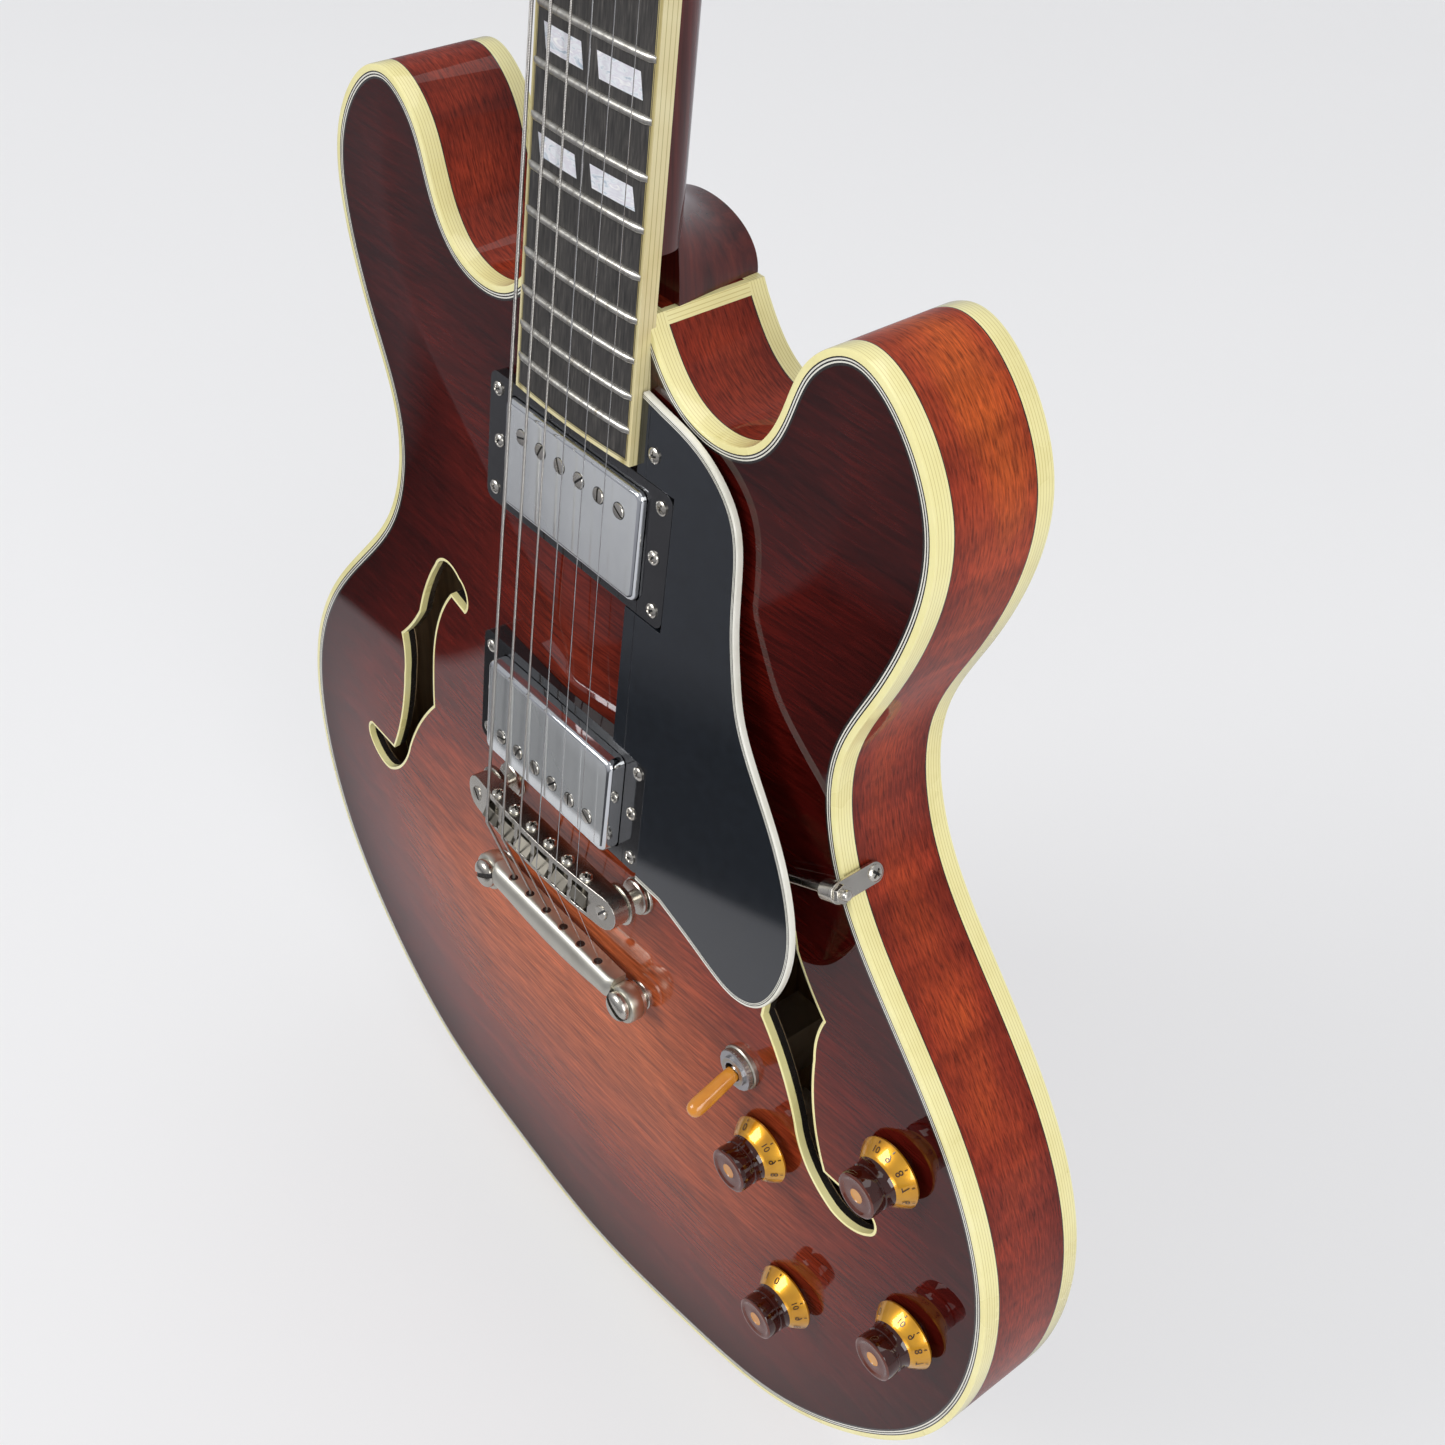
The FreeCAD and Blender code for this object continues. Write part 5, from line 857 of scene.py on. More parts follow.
walls = Form()
rim_low, rim_high = FRONT_Y + BINDING_HEIGHT, BACK_Y - BINDING_HEIGHT
rim_lines = [rim_low, rim_low + 0.35, rim_high - 0.35, rim_high, rim_high, rim_low, rim_low]
rim_insets = [0.0, 0.02, 0.02, 0.0, RIM_WALL, RIM_WALL, 0.0]
band(outline, [-i for i in rim_insets], level_at(rim_lines), walls, [1, 0, 1, 2, 2, 2], arc_run)
walls.build("rim_walls", [rim_lacquer, line_black, raw_wood], ROOT, ["rim"], 32,
            attribute_name="run")

SOUNDHOLE_DROPS = [5.0, -0.02, -0.12, -0.12, 0.02, 2.5, 5.0]


def hole_heights(line, k):
    return FRONT_Y - arch(line, TOP_ARCH)[0] + SOUNDHOLE_DROPS[k]


bound = Form()
for loop in (sound_right, sound_left):
    band(loop, [0.0, 0.0, 0.2, 0.85, 1.05, 1.05, 1.05], hole_heights, bound, [0] * 5 + [1])
bound.build("soundhole_edges", [cream_plain, line_black], ROOT, ["soundhole_bindings"], 40)

# Neck, board and headstock

def neck_section(place, depth, sides=40):
    half = board_half(place)
    points = []
    for k in range(sides + 1):
        angle = math.pi * k / sides
        points.append(on_neck(half * math.cos(angle), -BOARD_THICKNESS - depth * math.sin(angle) ** 0.9,
                              place))
    return points


def loft(form, rows, kind=0):
    """Skin over rows of points, closed at both ends."""
    count = len(rows[0])
    faces = grid_faces(len(rows), count)
    faces.append(list(range(count))[::-1])
    faces.append([(len(rows) - 1) * count + k for k in range(count)])
    form.add([p for row in rows for p in row], faces, kind)


neck_form = Form()
SHAFT_START, SHAFT_TAPER_START, SHAFT_END = 228.0, 250.0, SCALE + NUT_LENGTH
DEPTH_AT_HEEL, DEPTH_AT_NUT = 17.5, 14.0
shaft_rows = []
for place in np.linspace(SHAFT_START, SHAFT_END, 30):
    share = np.clip((place - SHAFT_TAPER_START) / (SHAFT_END - SHAFT_TAPER_START), 0, 1)
    shaft_rows.append(neck_section(place, DEPTH_AT_HEEL + (DEPTH_AT_NUT - DEPTH_AT_HEEL) * share))
loft(neck_form, shaft_rows)

HEEL_LEVELS = [(0.0, 1.0, 1.0), (0.20, 1.03, 1.13), (0.42, 1.07, 1.55), (0.60, 1.11, 2.3), (0.74, 1.14, 3.6)]


def heel_share(drop, index):
    """Width or length of the heel at a drop below the back, as a share of the cap's."""
    line = spline([(level[0] * 10, level[index]) for level in HEEL_LEVELS], 0.02)
    return float(np.interp(drop * 10, line[:, 0], line[:, 1]))


heel_rows = []
for drop in np.linspace(0, HEEL_LEVELS[-1][0], 26):
    width, length = HEEL_HALF * heel_share(drop, 1), HEEL_DEPTH * heel_share(drop, 2)
    angles = [math.pi * k / 40 for k in range(41)]
    heel_rows.append([Vector((width * math.cos(a), BACK_Y - (BACK_Y - FRONT_Y) * drop,
                              NECK_JOINT + length * math.sin(a) ** 0.9)) * MM for a in angles])
loft(neck_form, heel_rows)

HEAD_SHARES = [(0.54, 0.0), (0.61, 0.085), (0.785, 0.165), (0.885, 0.24), (0.915, 0.35), (0.945, 0.65),
               (1.0, 0.95)]
head_right = [(x * HEAD_HALF, z * HEAD_LENGTH) for x, z in HEAD_SHARES]
head_side = []
for k in range(0, len(head_right) - 1, 2):
    head_side += arc_points(*head_right[k:k + 3], 1.5)
head_side.append(head_right[-1])
crown = arc_points(head_right[-1], (0, HEAD_LENGTH), (-head_right[-1][0], head_right[-1][1]), 1.5)[1:]
head_loop = np.array(head_side + crown + [(-x, z) for x, z in reversed(head_side)])


neck_form.slab([tuple(p) for p in head_loop], lambda p: on_head(p[0], -15.1, p[1]),
               lambda p: on_head(p[0], -1.6, p[1]))
neck_form.build("neck_wood", [neck_lacquer], ROOT, ["neck"], 38)

FRET_HEIGHT, FRET_HALF_WIDTH, FRET_INSET = 1.15, 1.25, 0.9
frets = Form()
for number in range(1, 23):
    place = SCALE / 2 ** (number / 12)
    half = board_half(place) - FRET_INSET
    rows = []
    for k in range(25):
        share = -1 + 2 * k / 24
        ending = min(1.0, (1 - abs(share)) * 24 / 2.2)
        fall = math.sqrt(max(0.05, 1 - (1 - ending) ** 2))
        x = half * share
        base = -x * x / (2 * BOARD_RADIUS) - 0.02
        reach = FRET_HALF_WIDTH * (0.6 + 0.4 * fall)
        rows.append([on_neck(x, base + FRET_HEIGHT * fall * math.sin(math.pi * s / 8),
                             place + reach * math.cos(math.pi * s / 8)) for s in range(9)])
    loft(frets, rows)
frets.build("fret_crowns", [fret_metal], ROOT, ["frets"], 60)

# Strings, from the tailpiece over the saddles and the nut to the posts

STRING_RADII = [0.58, 0.46, 0.33, 0.22, 0.165, 0.127]
BREAKS = [-3.5, -3.0, -2.4, -2.8, -2.3, -1.8]
POST_PLACES = [(-23.0, 38.0), (-25.0, 77.0), (-27.0, 116.0), (27.0, 116.0), (25.0, 77.0), (23.0, 38.0)]


def string_x(index, spread=STRING_SPREAD):
    return spread * (index / 5 - 0.5)


def wire_of(index):
    return wound_string if index < 3 else plain_string


def strung(name, index, path):
    """String piece along a path of points between two places."""
    form = Form()
    form.tube(path, STRING_RADII[index], 0, 10)
    piece = form.build(name % (6 - index), [wire_of(index)], None, (), 60)
    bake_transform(piece)
    return piece


for index, radius in enumerate(STRING_RADII):
    x_bridge, x_nut = string_x(index), string_x(index, NUT_SPREAD)
    saddle = on_neck(x_bridge, 5.2 - x_bridge ** 2 / (2 * BOARD_RADIUS) + radius, BREAKS[index])
    nut_front = on_neck(x_nut, 1.5, SCALE)
    nut_back = on_neck(x_nut, 1.4, SCALE + 4.6)
    mouth = on_neck(x_bridge, STRING_HOLE_RISE, STRING_HOLE_PLACE + 1.5)
    hole = on_neck(x_bridge, STRING_HOLE_RISE, -47.0)
    post_x, post_z = POST_PLACES[index]
    post_side = on_head(post_x - math.copysign(3.0 + radius, post_x), 6.6, post_z)
    path = [post_side.lerp(nut_back, t) for t in np.linspace(0, 1, 12)]
    path += [nut_front.lerp(saddle, t) for t in np.linspace(0, 1, 60)]
    main = strung("string_%d", index, path)
    strung("string_tail_%d", index, [hole, mouth] + [mouth.lerp(saddle, t) for t in np.linspace(0.05, 1, 12)])
    if index == 0:
        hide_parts("strings")

# Hardware

def knob_form(form, base):
    """Bell knob: printed skirt, amber waist, clear top with the shaft's end below it."""
    profile = [(0, 0.0), (11.2, 0.0), (12.5, 0.25), (12.7, 0.9), (12.45, 1.35), (11.6, 2.6), (10.7, 3.8),
               (9.9, 4.7),
               (9.35, 5.3), (9.0, 5.6), (8.75, 6.4), (8.35, 6.9), (8.2, 8.4), (8.15, 9.6), (7.75,
                                                                                            9.9), (7.75,
                                                                                                   10.5),
               (8.15, 10.9), (8.25, 14.2), (8.0, 15.1), (7.4, 15.5), (6.6, 15.45), (6.1, 15.05), (5.6, 14.95),
               (3.4, 14.95), (2.6, 15.1), (2.4, 14.9), (0, 14.9)]
    kinds = [0] * 10 + [1] * 8 + [2] * 6 + [4] * 3
    form.lathe([(r, h + KNOB_LIFT) for r, h in profile], base, FRONT, kinds, 72)


def number_shapes():
    """Meshes of the numbers 0 to 10, flat, centred, one millimetre high."""
    shapes = []
    for value in range(11):
        text = bpy.data.curves.new("number", "FONT")
        text.body = str(value)
        text.align_x, text.align_y = "CENTER", "CENTER"
        text.size = 1.0
        holder = bpy.data.objects.new("number", text)
        bpy.context.scene.collection.objects.link(holder)
        bpy.context.view_layer.update()
        mesh = bpy.data.meshes.new_from_object(holder.evaluated_get(bpy.context.evaluated_depsgraph_get()))
        shapes.append(([tuple(v.co) for v in mesh.vertices], [list(p.vertices) for p in mesh.polygons]))
        bpy.data.objects.remove(holder)
        bpy.data.curves.remove(text)
        bpy.data.meshes.remove(mesh)
    return shapes


numbers = number_shapes()
KNOB_SHARES = [(0.526, 0.37783), (0.780, 0.4578), (0.604, 0.22844), (0.861, 0.31139)]
KNOB_TURNS = [0.5, 0.35, 0.55, 0.42]
for index, (x_share, z_share) in enumerate(KNOB_SHARES, 1):
    x, z = x_share * HALF_WIDTH, z_share * LENGTH
    base = Vector((x, FRONT_Y - top_height(x, z), z)) * MM
    form = Form()
    knob_form(form, base)
    for value, (points, faces) in enumerate(numbers):
        angle = math.radians(150 - 300 * (value / 10) + 360 * KNOB_TURNS[index - 1])
        outward_radius = Vector((math.sin(angle), 0, math.cos(angle)))
        tangent = Vector((math.cos(angle), 0, -math.sin(angle)))
        slope_up = (FRONT * 0.78 - outward_radius * 0.62).normalized()
        normal = (FRONT * 0.62 + outward_radius * 0.78).normalized()
        centre = base + (outward_radius * 10.75 + FRONT * 5.75 + normal * 0.16) * MM
        size = 3.7 if value < 10 else 3.1
        form.add([centre + (tangent * px + slope_up * py) * size * MM for px, py, _ in points], faces, 5)
        mark = base + (outward_radius * 12.15 + FRONT * 3.95 + normal * 0.16) * MM
        w, h = 0.16, 0.5
        form.add([mark + (tangent * a * w + slope_up * b * h) * MM for a,
                  b in ((-1, -1), (1, -1), (1, 1), (-1, 1))],
                 [[0, 1, 2, 3]], 5)
    form.build("bell_knob_%d" % index, [skirt_gold, knob_amber, knob_clear, knob_clear, shaft_disc,
                                        number_ink],
               "knob_%d" % index, ["knob_%d" % index], 40, recalc=False)

switch_x, switch_z = 0.449 * HALF_WIDTH, 0.43217 * LENGTH
switch_base = Vector((switch_x, FRONT_Y - top_height(switch_x, switch_z), switch_z)) * MM


def knurls(form, base, first, out, count, radii, heights, half):
    """Small teeth round a wheel."""
    second = out.cross(first)
    for k in range(count):
        angle = 2 * math.pi * k / count
        across = first * math.cos(angle) + second * math.sin(angle)
        along = second * math.cos(angle) - first * math.sin(angle)
        form.add([base + (across * r + along * w + out * h) * MM
                  for r in radii for h in heights for w in (-half, half)], BOX_FACES)


switch = Form()
switch.lathe([(5.4, -0.8), (8.2, -0.8), (8.3, 0.6), (7.9, 1.1), (7.4, 1.2), (7.35, 1.5)], switch_base, FRONT,
             0, 64)
knurls(switch, switch_base, RIGHT, FRONT, 36, (6.6, 7.75), (1.4, 2.7), 0.36)
switch.lathe([(3.85, -2.0), (3.85, 3.7), (4.1, 4.1), (5.2, 4.1), (5.45, 3.85), (5.5, 3.1), (6.9, 3.0),
              (7.2, 2.7), (7.2, 1.3),
              (5.4, 1.2), (5.4, -2.0), (3.85, -2.0)], switch_base, FRONT, 0, 64)
# Dark disc round the lever's pivot: painted shade in the nut's opening.
switch.lathe([(3.9, 1.4), (1.6, 1.2), (0, 1.2)], switch_base, FRONT, 1, 48)
switch.build("switch_nut", [satin, recess_painted_shade], ROOT, (), 40, recalc=False)
lean = math.radians(22.0)
lever_axis = Vector((0, -math.cos(lean), -math.sin(lean)))
lever_pivot = switch_base + FRONT * 1.6 * MM
lever = Form()
lever.lathe([(0, -2.6), (1.8, -1.9), (2.6, 0), (1.8, 1.9), (1.3, 2.4), (1.3, 3.0)], lever_pivot, lever_axis,
            0, 40)
lever.lathe([(0, 1.6), (2.5, 1.7), (2.75, 2.1), (2.85, 4.2), (3.0, 7.0), (3.1, 12.0), (3.2, 16.5),
             (3.2, 18.6), (2.95, 20.2),
             (2.3, 21.4), (1.3, 22.05), (0, 22.3)], lever_pivot, lever_axis, 1, 48)
lever.build("switch_handle", [nickel, tip_amber], "switch_lever", ["switch_lever"], 50,
            recalc=False)


def rounded_loop(half_x, half_z, corner, steps=8):
    points = []
    for cx, cz, start in ((half_x - corner, half_z - corner, 0), (corner - half_x, half_z - corner, 90),
                          (corner - half_x, corner - half_z, 180), (half_x - corner, corner - half_z, 270)):
        for k in range(steps + 1):
            angle = math.radians(start + 90 * k / steps)
            points.append((cx + corner * math.cos(angle), cz + corner * math.sin(angle)))
    return points


def slotted_disc(form, base, out, along, radius, profile, half_slot, floor, sides=24, floor_sides=32):
    """Round head cut by a slot: two rounded halves and the slot's floor, painted near-black as shade in the
    slot.
    """
    across = out.cross(along)
    limit = math.asin(half_slot / radius)
    angles = [limit + (math.pi - 2 * limit) * s / sides for s in range(sides + 1)]
    for side in (-1, 1):
        points = []
        for scale, rise in profile:
            for angle in angles:
                away = side * (half_slot + (radius * math.sin(angle) - half_slot) * scale)
                points.append(
                    base + (along * radius * math.cos(angle) * scale + across * away + out * rise) * MM)
        faces = grid_faces(len(profile), sides + 1)
        faces.append([(len(profile) - 1) * (sides + 1) + s for s in range(sides + 1)])
        form.add(points, faces)
    # The slot's floor takes the second material, painted near-black as shade in the slot.
    form.lathe(floor, base, out, 1, floor_sides)


# Place along the strings, rise of the cover and of the ring, side of the poles
PICKUPS = [(NECK_PICKUP, -1.8, -4.2, 1), (BRIDGE_PICKUP, 0.9, -5.4, -1)]
COVER_ROUNDING = 1.5
covers = Form()
poles = Form()
for place, cover_top, ring_top, pole_side in PICKUPS:
    levels = [(0, cover_top - 14.5)]
    for k in range(7):
        angle = math.pi / 2 * k / 6
        levels.append((COVER_ROUNDING * (1 - math.cos(angle)),
                       cover_top - COVER_ROUNDING * (1 - math.sin(angle))))
    loops = [[on_neck(x, rise, place + z) for x, z in rounded_loop(34.3 - inset, 18.6 - inset,
                                                                   2.8 - inset * 0.6)]
             for inset, rise in levels]
    # The last face, the top of the cover, takes the chrome copy with painted sheen.
    loft(covers, loops, [0] * ((len(loops) - 1) * len(loops[0]) + 1) + [1])
    for k in range(6):
        centre = on_neck(string_x(k, POLE_SPREAD), cover_top, place + pole_side * POLE_OFFSET)
        turn = (0.3, 1.1, 2.0, 0.8, 1.6, 2.6)[k]
        # Thin dark ring round each pole screw: painted shade in the gap of the cover's hole.
        poles.lathe([(2.75, 0.02), (2.72, 0.06), (2.5, 0.06)], centre, NECK_OUT, 1, 40)
        slotted_disc(poles, centre, NECK_OUT, RIGHT * math.cos(turn) + NECK_UP * math.sin(turn), 2.45,
                     [(1.0, -0.3), (1.0, 0.30), (0.93, 0.52), (0.6, 0.62)], 0.36, [(2.4, 0.08),
                                                                                   (0, 0.08)], 16, 24)
covers.build("cover_shells", [chrome, chrome_painted_sheen_top], ROOT, ["pickup_covers"], 40)
poles.build("pole_heads", [nickel, recess_painted_shade], ROOT, ["pole_screws"], 40)
from_cad(["pickup_rings"], "ring_frames", black_plastic, bevel=0.7, segments=3)


def phillips(form, base, direction, radius, height, turn=0.4):
    """Domed head with a cross recess, built as a dome whose cross is sunk by moving its points."""
    rotation = UP.rotation_difference(direction).to_matrix()
    sides, ring_count = 48, 12
    angles = [2 * math.pi * k / sides for k in range(sides)]

    def arm_at(share, angle):
        x, y = radius * share * math.cos(angle - turn), radius * share * math.sin(angle - turn)
        return min(abs(x), abs(y))

    spots = [(0, 0, height * 0.45)]
    for r in range(1, ring_count + 1):
        share = r / ring_count
        for angle in angles:
            dome = height * math.sqrt(max(0.0, 1 - share ** 2 * 0.82))
            if share < 0.62 and arm_at(share, angle) < radius * 0.15:
                dome -= height * 0.62 * (1 - share * 0.8)
            spots.append((radius * share * math.cos(angle), radius * share * math.sin(angle), dome))
    spots += [(radius * math.cos(angle), radius * math.sin(angle), -0.4) for angle in angles]
    # Faces at the centre and in the cross recess take the second material, painted near-black as shade in the
    # recess.
    faces = [[0, 1 + k, 1 + (k + 1) % sides] for k in range(sides)]
    kinds = [1] * sides
    for k, angle in enumerate(angles):
        n = (k + 1) % sides
        for r in range(ring_count):
            a, b = 1 + r * sides, 1 + (r + 1) * sides
            faces.append([a + k, b + k, b + n, a + n])
            mid = (r + 1.5) / ring_count
            kinds.append(int(mid < 0.6 and arm_at(mid, angle + math.pi / sides) < radius * 0.13))
    faces.append([1 + ring_count * sides + k for k in range(sides)][::-1])
    form.add([base + rotation @ Vector(spot) * MM for spot in spots], faces, kinds + [0])


screws = Form()
for place, cover_top, ring_top, pole_side in PICKUPS:
    for sx in (-1, 1):
        for sz in (-1, 1):
            phillips(screws, on_neck(41.0 * sx, ring_top, place + sz * 17.5), NECK_OUT, 2.3, 1.1,
                     0.5 + sx * 0.4 + sz * 0.3)
        phillips(screws, on_neck(39.5 * sx, ring_top, place), NECK_OUT, 2.2, 1.2, 0.9 * sx)
phillips(screws, on_neck(1.27 * BOARD_HALF_END, -4.0, 1.042 * BOARD_END), NECK_OUT, 2.4, 1.1, 0.2)
for x, z in ((-6.6, 7.6), (6.6, 7.6), (0, 33.44)):
    phillips(screws, on_head(x, 1.4, z), HEAD_OUT, 2.1, 1.0, 0.3 * x)
# Seat, direction and height of each strap peg's screw
STRAP_SEATS = [(Vector((0, 0, 0)), Vector((0, 0, -1)), 12.5),
               (Vector((0, 21.509, 440.0)), Vector((0, 1, 0)), 12.491)]
for seat, direction, height in STRAP_SEATS:
    phillips(screws, (seat + direction * height) * MM, direction, 3.6, 2.0)


def treble_edge(z):
    """Point of the treble outline at a height below the horn, and its outward direction."""
    k = next(k for k in range(len(curve) - 1)
             if curve[k, 0] > HALF_WIDTH / 2 and curve[k, 1] < z <= curve[k + 1, 1])
    t = (z - curve[k, 1]) / (curve[k + 1, 1] - curve[k, 1])
    point = curve[k] + (curve[k + 1] - curve[k]) * t
    run = (curve[k + 1] - curve[k]) / np.linalg.norm(curve[k + 1] - curve[k])
    return Vector((point[0], 0, point[1])), Vector((run[1], 0, -run[0]))


edge_point, edge_out = treble_edge(0.655 * LENGTH)


def bracket_at(away, y):
    return (Vector((edge_point.x, y, edge_point.z)) + edge_out * away) * MM


phillips(screws, bracket_at(2.2, BRACKET_SCREW_Y), edge_out, 2.6, 1.3, 0.7)
screws.build("screw_heads", [nickel, recess_painted_shade], ROOT, ["small_screws"], 50, recalc=False)

bridge_heads = Form()
for index in range(6):
    x = string_x(index)
    phillips(bridge_heads, on_neck(x, 0.1, 7.15), NECK_UP, 2.35, 1.5, 0.5 + index * 0.7)
    bridge_heads.lathe([(0, -11.6), (1.0, -11.6), (1.0, 0.5)], on_neck(x, 0.1, 7.0), NECK_UP, 0, 20)
bridge_heads.build("saddle_screw_heads", [nickel, recess_painted_shade], "bridge", ["saddle_screws"], 50,
                   recalc=False)
from_cad(["bridge"], "bridge_frame", nickel, "bridge", 0.28)
for number in range(1, 7):
    from_cad(["saddle_%d" % number], "saddle_block_%d" % number, saddle_metal, "saddle_%d" % number, 0.22)

wheels = Form()
for side in (-1, 1):
    base = on_neck(POST_HALF * side, -7.6, POST_PLACE)
    wheels.lathe([(2.66, 0), (6.9, 0), (7.4, 0.25), (7.4, 1.75), (6.9, 2.0), (2.66, 2.0), (2.66, 0)], base,
                 NECK_OUT, 0, 64)
    knurls(wheels, base, RIGHT, NECK_OUT, 40, (7.2, 7.55), (0.3, 1.7), 0.28)
wheels.build("height_wheels", [nickel], "bridge", ["thumbwheels"], 40, recalc=False)


posts = Form()
for side in (-1, 1):
    base = on_neck(POST_HALF * side, 0, POST_PLACE)
    turn = RIGHT * math.cos(0.9 * side) + NECK_UP * math.sin(0.9 * side)
    posts.lathe([(2.6, -28.0), (2.6, 0.9)], base, NECK_OUT, 0, 40)
    slotted_disc(posts, base, NECK_OUT, turn, 2.55, [(1, 0.6), (1, 1.75), (0.93, 1.98), (0.6, 2.0)], 0.45,
                 [(2.51175, 0.5), (2.51175, 1.1), (0, 1.1)])
    collar = on_neck(POST_HALF * side, top_rise(POST_HALF * side, POST_PLACE), POST_PLACE)
    posts.lathe([(2.6, 2.6), (5.9, 2.6), (6.4, 2.2), (6.4, 1.4), (5.3, 1.3), (5.3, 0.75), (6.9, 0.7),
                 (7.1, 0.4),
                 (7.1, -1.2)], collar, NECK_OUT, 0, 56)
posts.build("bridge_post_set", [nickel, recess_painted_shade], ROOT, ["bridge_posts"], 38)

studs = Form()
for side in (-1, 1):
    base = on_neck(STUD_HALF * side, 0, STUD_PLACE)
    turn = RIGHT * math.cos(-0.5 * side) + NECK_UP * math.sin(-0.5 * side)
    studs.lathe([(3.4, -12.8), (3.4, -7.3), (5.3, -7.3), (5.6, -7.1), (5.6, -6.9)], base, NECK_OUT, 0, 56)
    slotted_disc(studs, base, NECK_OUT, turn, 5.6,
                 [(1, -7.2), (1, -6.1), (0.97, -5.5), (0.88, -4.9), (0.72, -4.4), (0.5, -4.1),
                  (0.25, -3.95)], 1.0,
                 [(5.516, -6.25), (5.516, -5.65), (0, -5.65)])
    rise = top_rise(STUD_HALF * side, STUD_PLACE)
    studs.lathe([(3.9, rise), (3.9, -14.5), (6.5, -14.4), (6.8, -14.1), (6.8, -13.0), (6.5, -12.8),
                 (3.4, -12.8)],
                base, NECK_OUT, 0, 56)
    studs.lathe([(3.9, rise + 1.0), (5.3, rise + 1.0), (5.6, rise + 0.7), (5.6, rise - 1.0)], base, NECK_OUT,
                0, 56)
studs.build("tail_studs", [nickel, recess_painted_shade], ROOT, ["tailpiece_studs"], 38)

TAIL_SECTION = [(-36.6, -12.8), (-36.6, -7.4), (-36.9, -6.5), (-37.7, -5.8), (-39.0, -5.3), (-41.2, -4.95),
                (-43.6, -4.95),
                (-46.0, -5.35), (-48.2, -6.2), (-49.9, -7.5), (-50.9, -8.9), (-51.2, -9.6), (-51.3,
                                                                                             -9.9), (-52.6,
                                                                                                     -10.1),
                (-53.2, -10.4), (-53.4, -11.0), (-53.4, -12.2), (-52.9, -12.8)]
TAIL_FOOT, TAIL_CROWN_POINTS = -12.8, 13
tail = Form()
rows = []
for k in range(41):
    share = -1 + 2 * k / 40
    ending = 1 - max(0.0, abs(share) - 0.955) / 0.045 * 0.14
    row = []
    for index, (place, rise) in enumerate(TAIL_SECTION):
        crown = index < TAIL_CROWN_POINTS
        pull = 5.4 * min(max(0.0, (-44.0 - place) / 7.2), 1.0) if crown else 3.4
        row.append(on_neck(36.5 * share, TAIL_FOOT + (rise - TAIL_FOOT) * ending,
                           place + pull * share * share))
    rows.append(row)
loft(tail, rows)
for side in (-1, 1):
    tail.lathe([(4.15, TAIL_FOOT), (7.0, TAIL_FOOT), (7.3, -12.4), (7.3, -8.4), (7.0, -7.7), (6.3, -7.4),
                (4.4, -7.4),
                (4.15, -7.6), (4.15, TAIL_FOOT)], on_neck(STUD_HALF * side, 0, STUD_PLACE), NECK_OUT, 0, 64)
for index in range(6):
    mouth = on_neck(string_x(index), STRING_HOLE_RISE, STRING_HOLE_PLACE)
    tail.lathe([(2.1, -0.3), (2.1, 0.05), (1.85, 0.12), (1.6, 0.02), (1.55, -0.2)], mouth, NECK_UP, 0, 32)
    # Dark disc in each string hole: painted shade inside the hole.
    tail.lathe([(1.6, 0.05), (0, 0.05)], mouth, NECK_UP, 1, 32)
tail.build("tail_bar", [tail_metal, recess_painted_shade], ROOT, ["tailpiece"], 42, recalc=False)

# Pickguard
reach = NECK_PICKUP * 1.35
notch_x = RING_HALF_LENGTH + GUARD_GAP
left_x = BOARD_HALF_END + GUARD_GAP
guard_tip = (left_x, reach * 0.9975)
guard_foot = (notch_x, reach * 0.1035)
free_edge = spline([(x * BOARD_HALF_END, share * reach) for x, share in GUARD_SHARES], 1.2)
free_edge = np.vstack([[guard_tip], free_edge, [guard_foot]])
ring_reach = RING_HALF_WIDTH + GUARD_GAP
lower, upper, neck_side = BRIDGE_PICKUP + ring_reach, NECK_PICKUP - ring_reach, NECK_PICKUP + ring_reach
notches = [(notch_x, lower), (left_x, lower), (left_x, upper), (notch_x, upper), (notch_x, neck_side),
           (left_x, neck_side)]
GUARD_TOP, GUARD_THICK = -4.0, 2.0
edge_normals = rights_of(free_edge, False)
guard = Form()
inner_line = free_edge + edge_normals * 1.75
guard.slab([tuple(p) for p in inner_line] + notches, lambda p: on_neck(p[0], GUARD_TOP - GUARD_THICK, p[1]),
           lambda p: on_neck(p[0], GUARD_TOP, p[1]), 0)
guard.build("guard_plate", [guard_black], ROOT, ["pickguard"], 30, bevel=0.12)
strip = Form()
offsets = [0.0, 0.0, 0.14, 0.75, 1.05, 1.3, 1.52, 1.75, 1.75]
rises = [GUARD_TOP - GUARD_THICK, GUARD_TOP - 0.2, GUARD_TOP - 0.02, GUARD_TOP, GUARD_TOP, GUARD_TOP,
         GUARD_TOP, GUARD_TOP,
         GUARD_TOP - GUARD_THICK]
strip_kinds = [0, 0, 0, 1, 2, 1, 2, 1]
points = [on_neck(x, rise, z) for offset, rise in zip(offsets, rises) for x,
          z in free_edge + edge_normals * offset]
strip.add(points, grid_faces(len(offsets), len(free_edge), False),
          [kind for kind in strip_kinds for _ in range(len(free_edge) - 1)])
strip.build("guard_binding", [line_white, line_black, line_white], ROOT, ["pickguard_binding"],
            40)

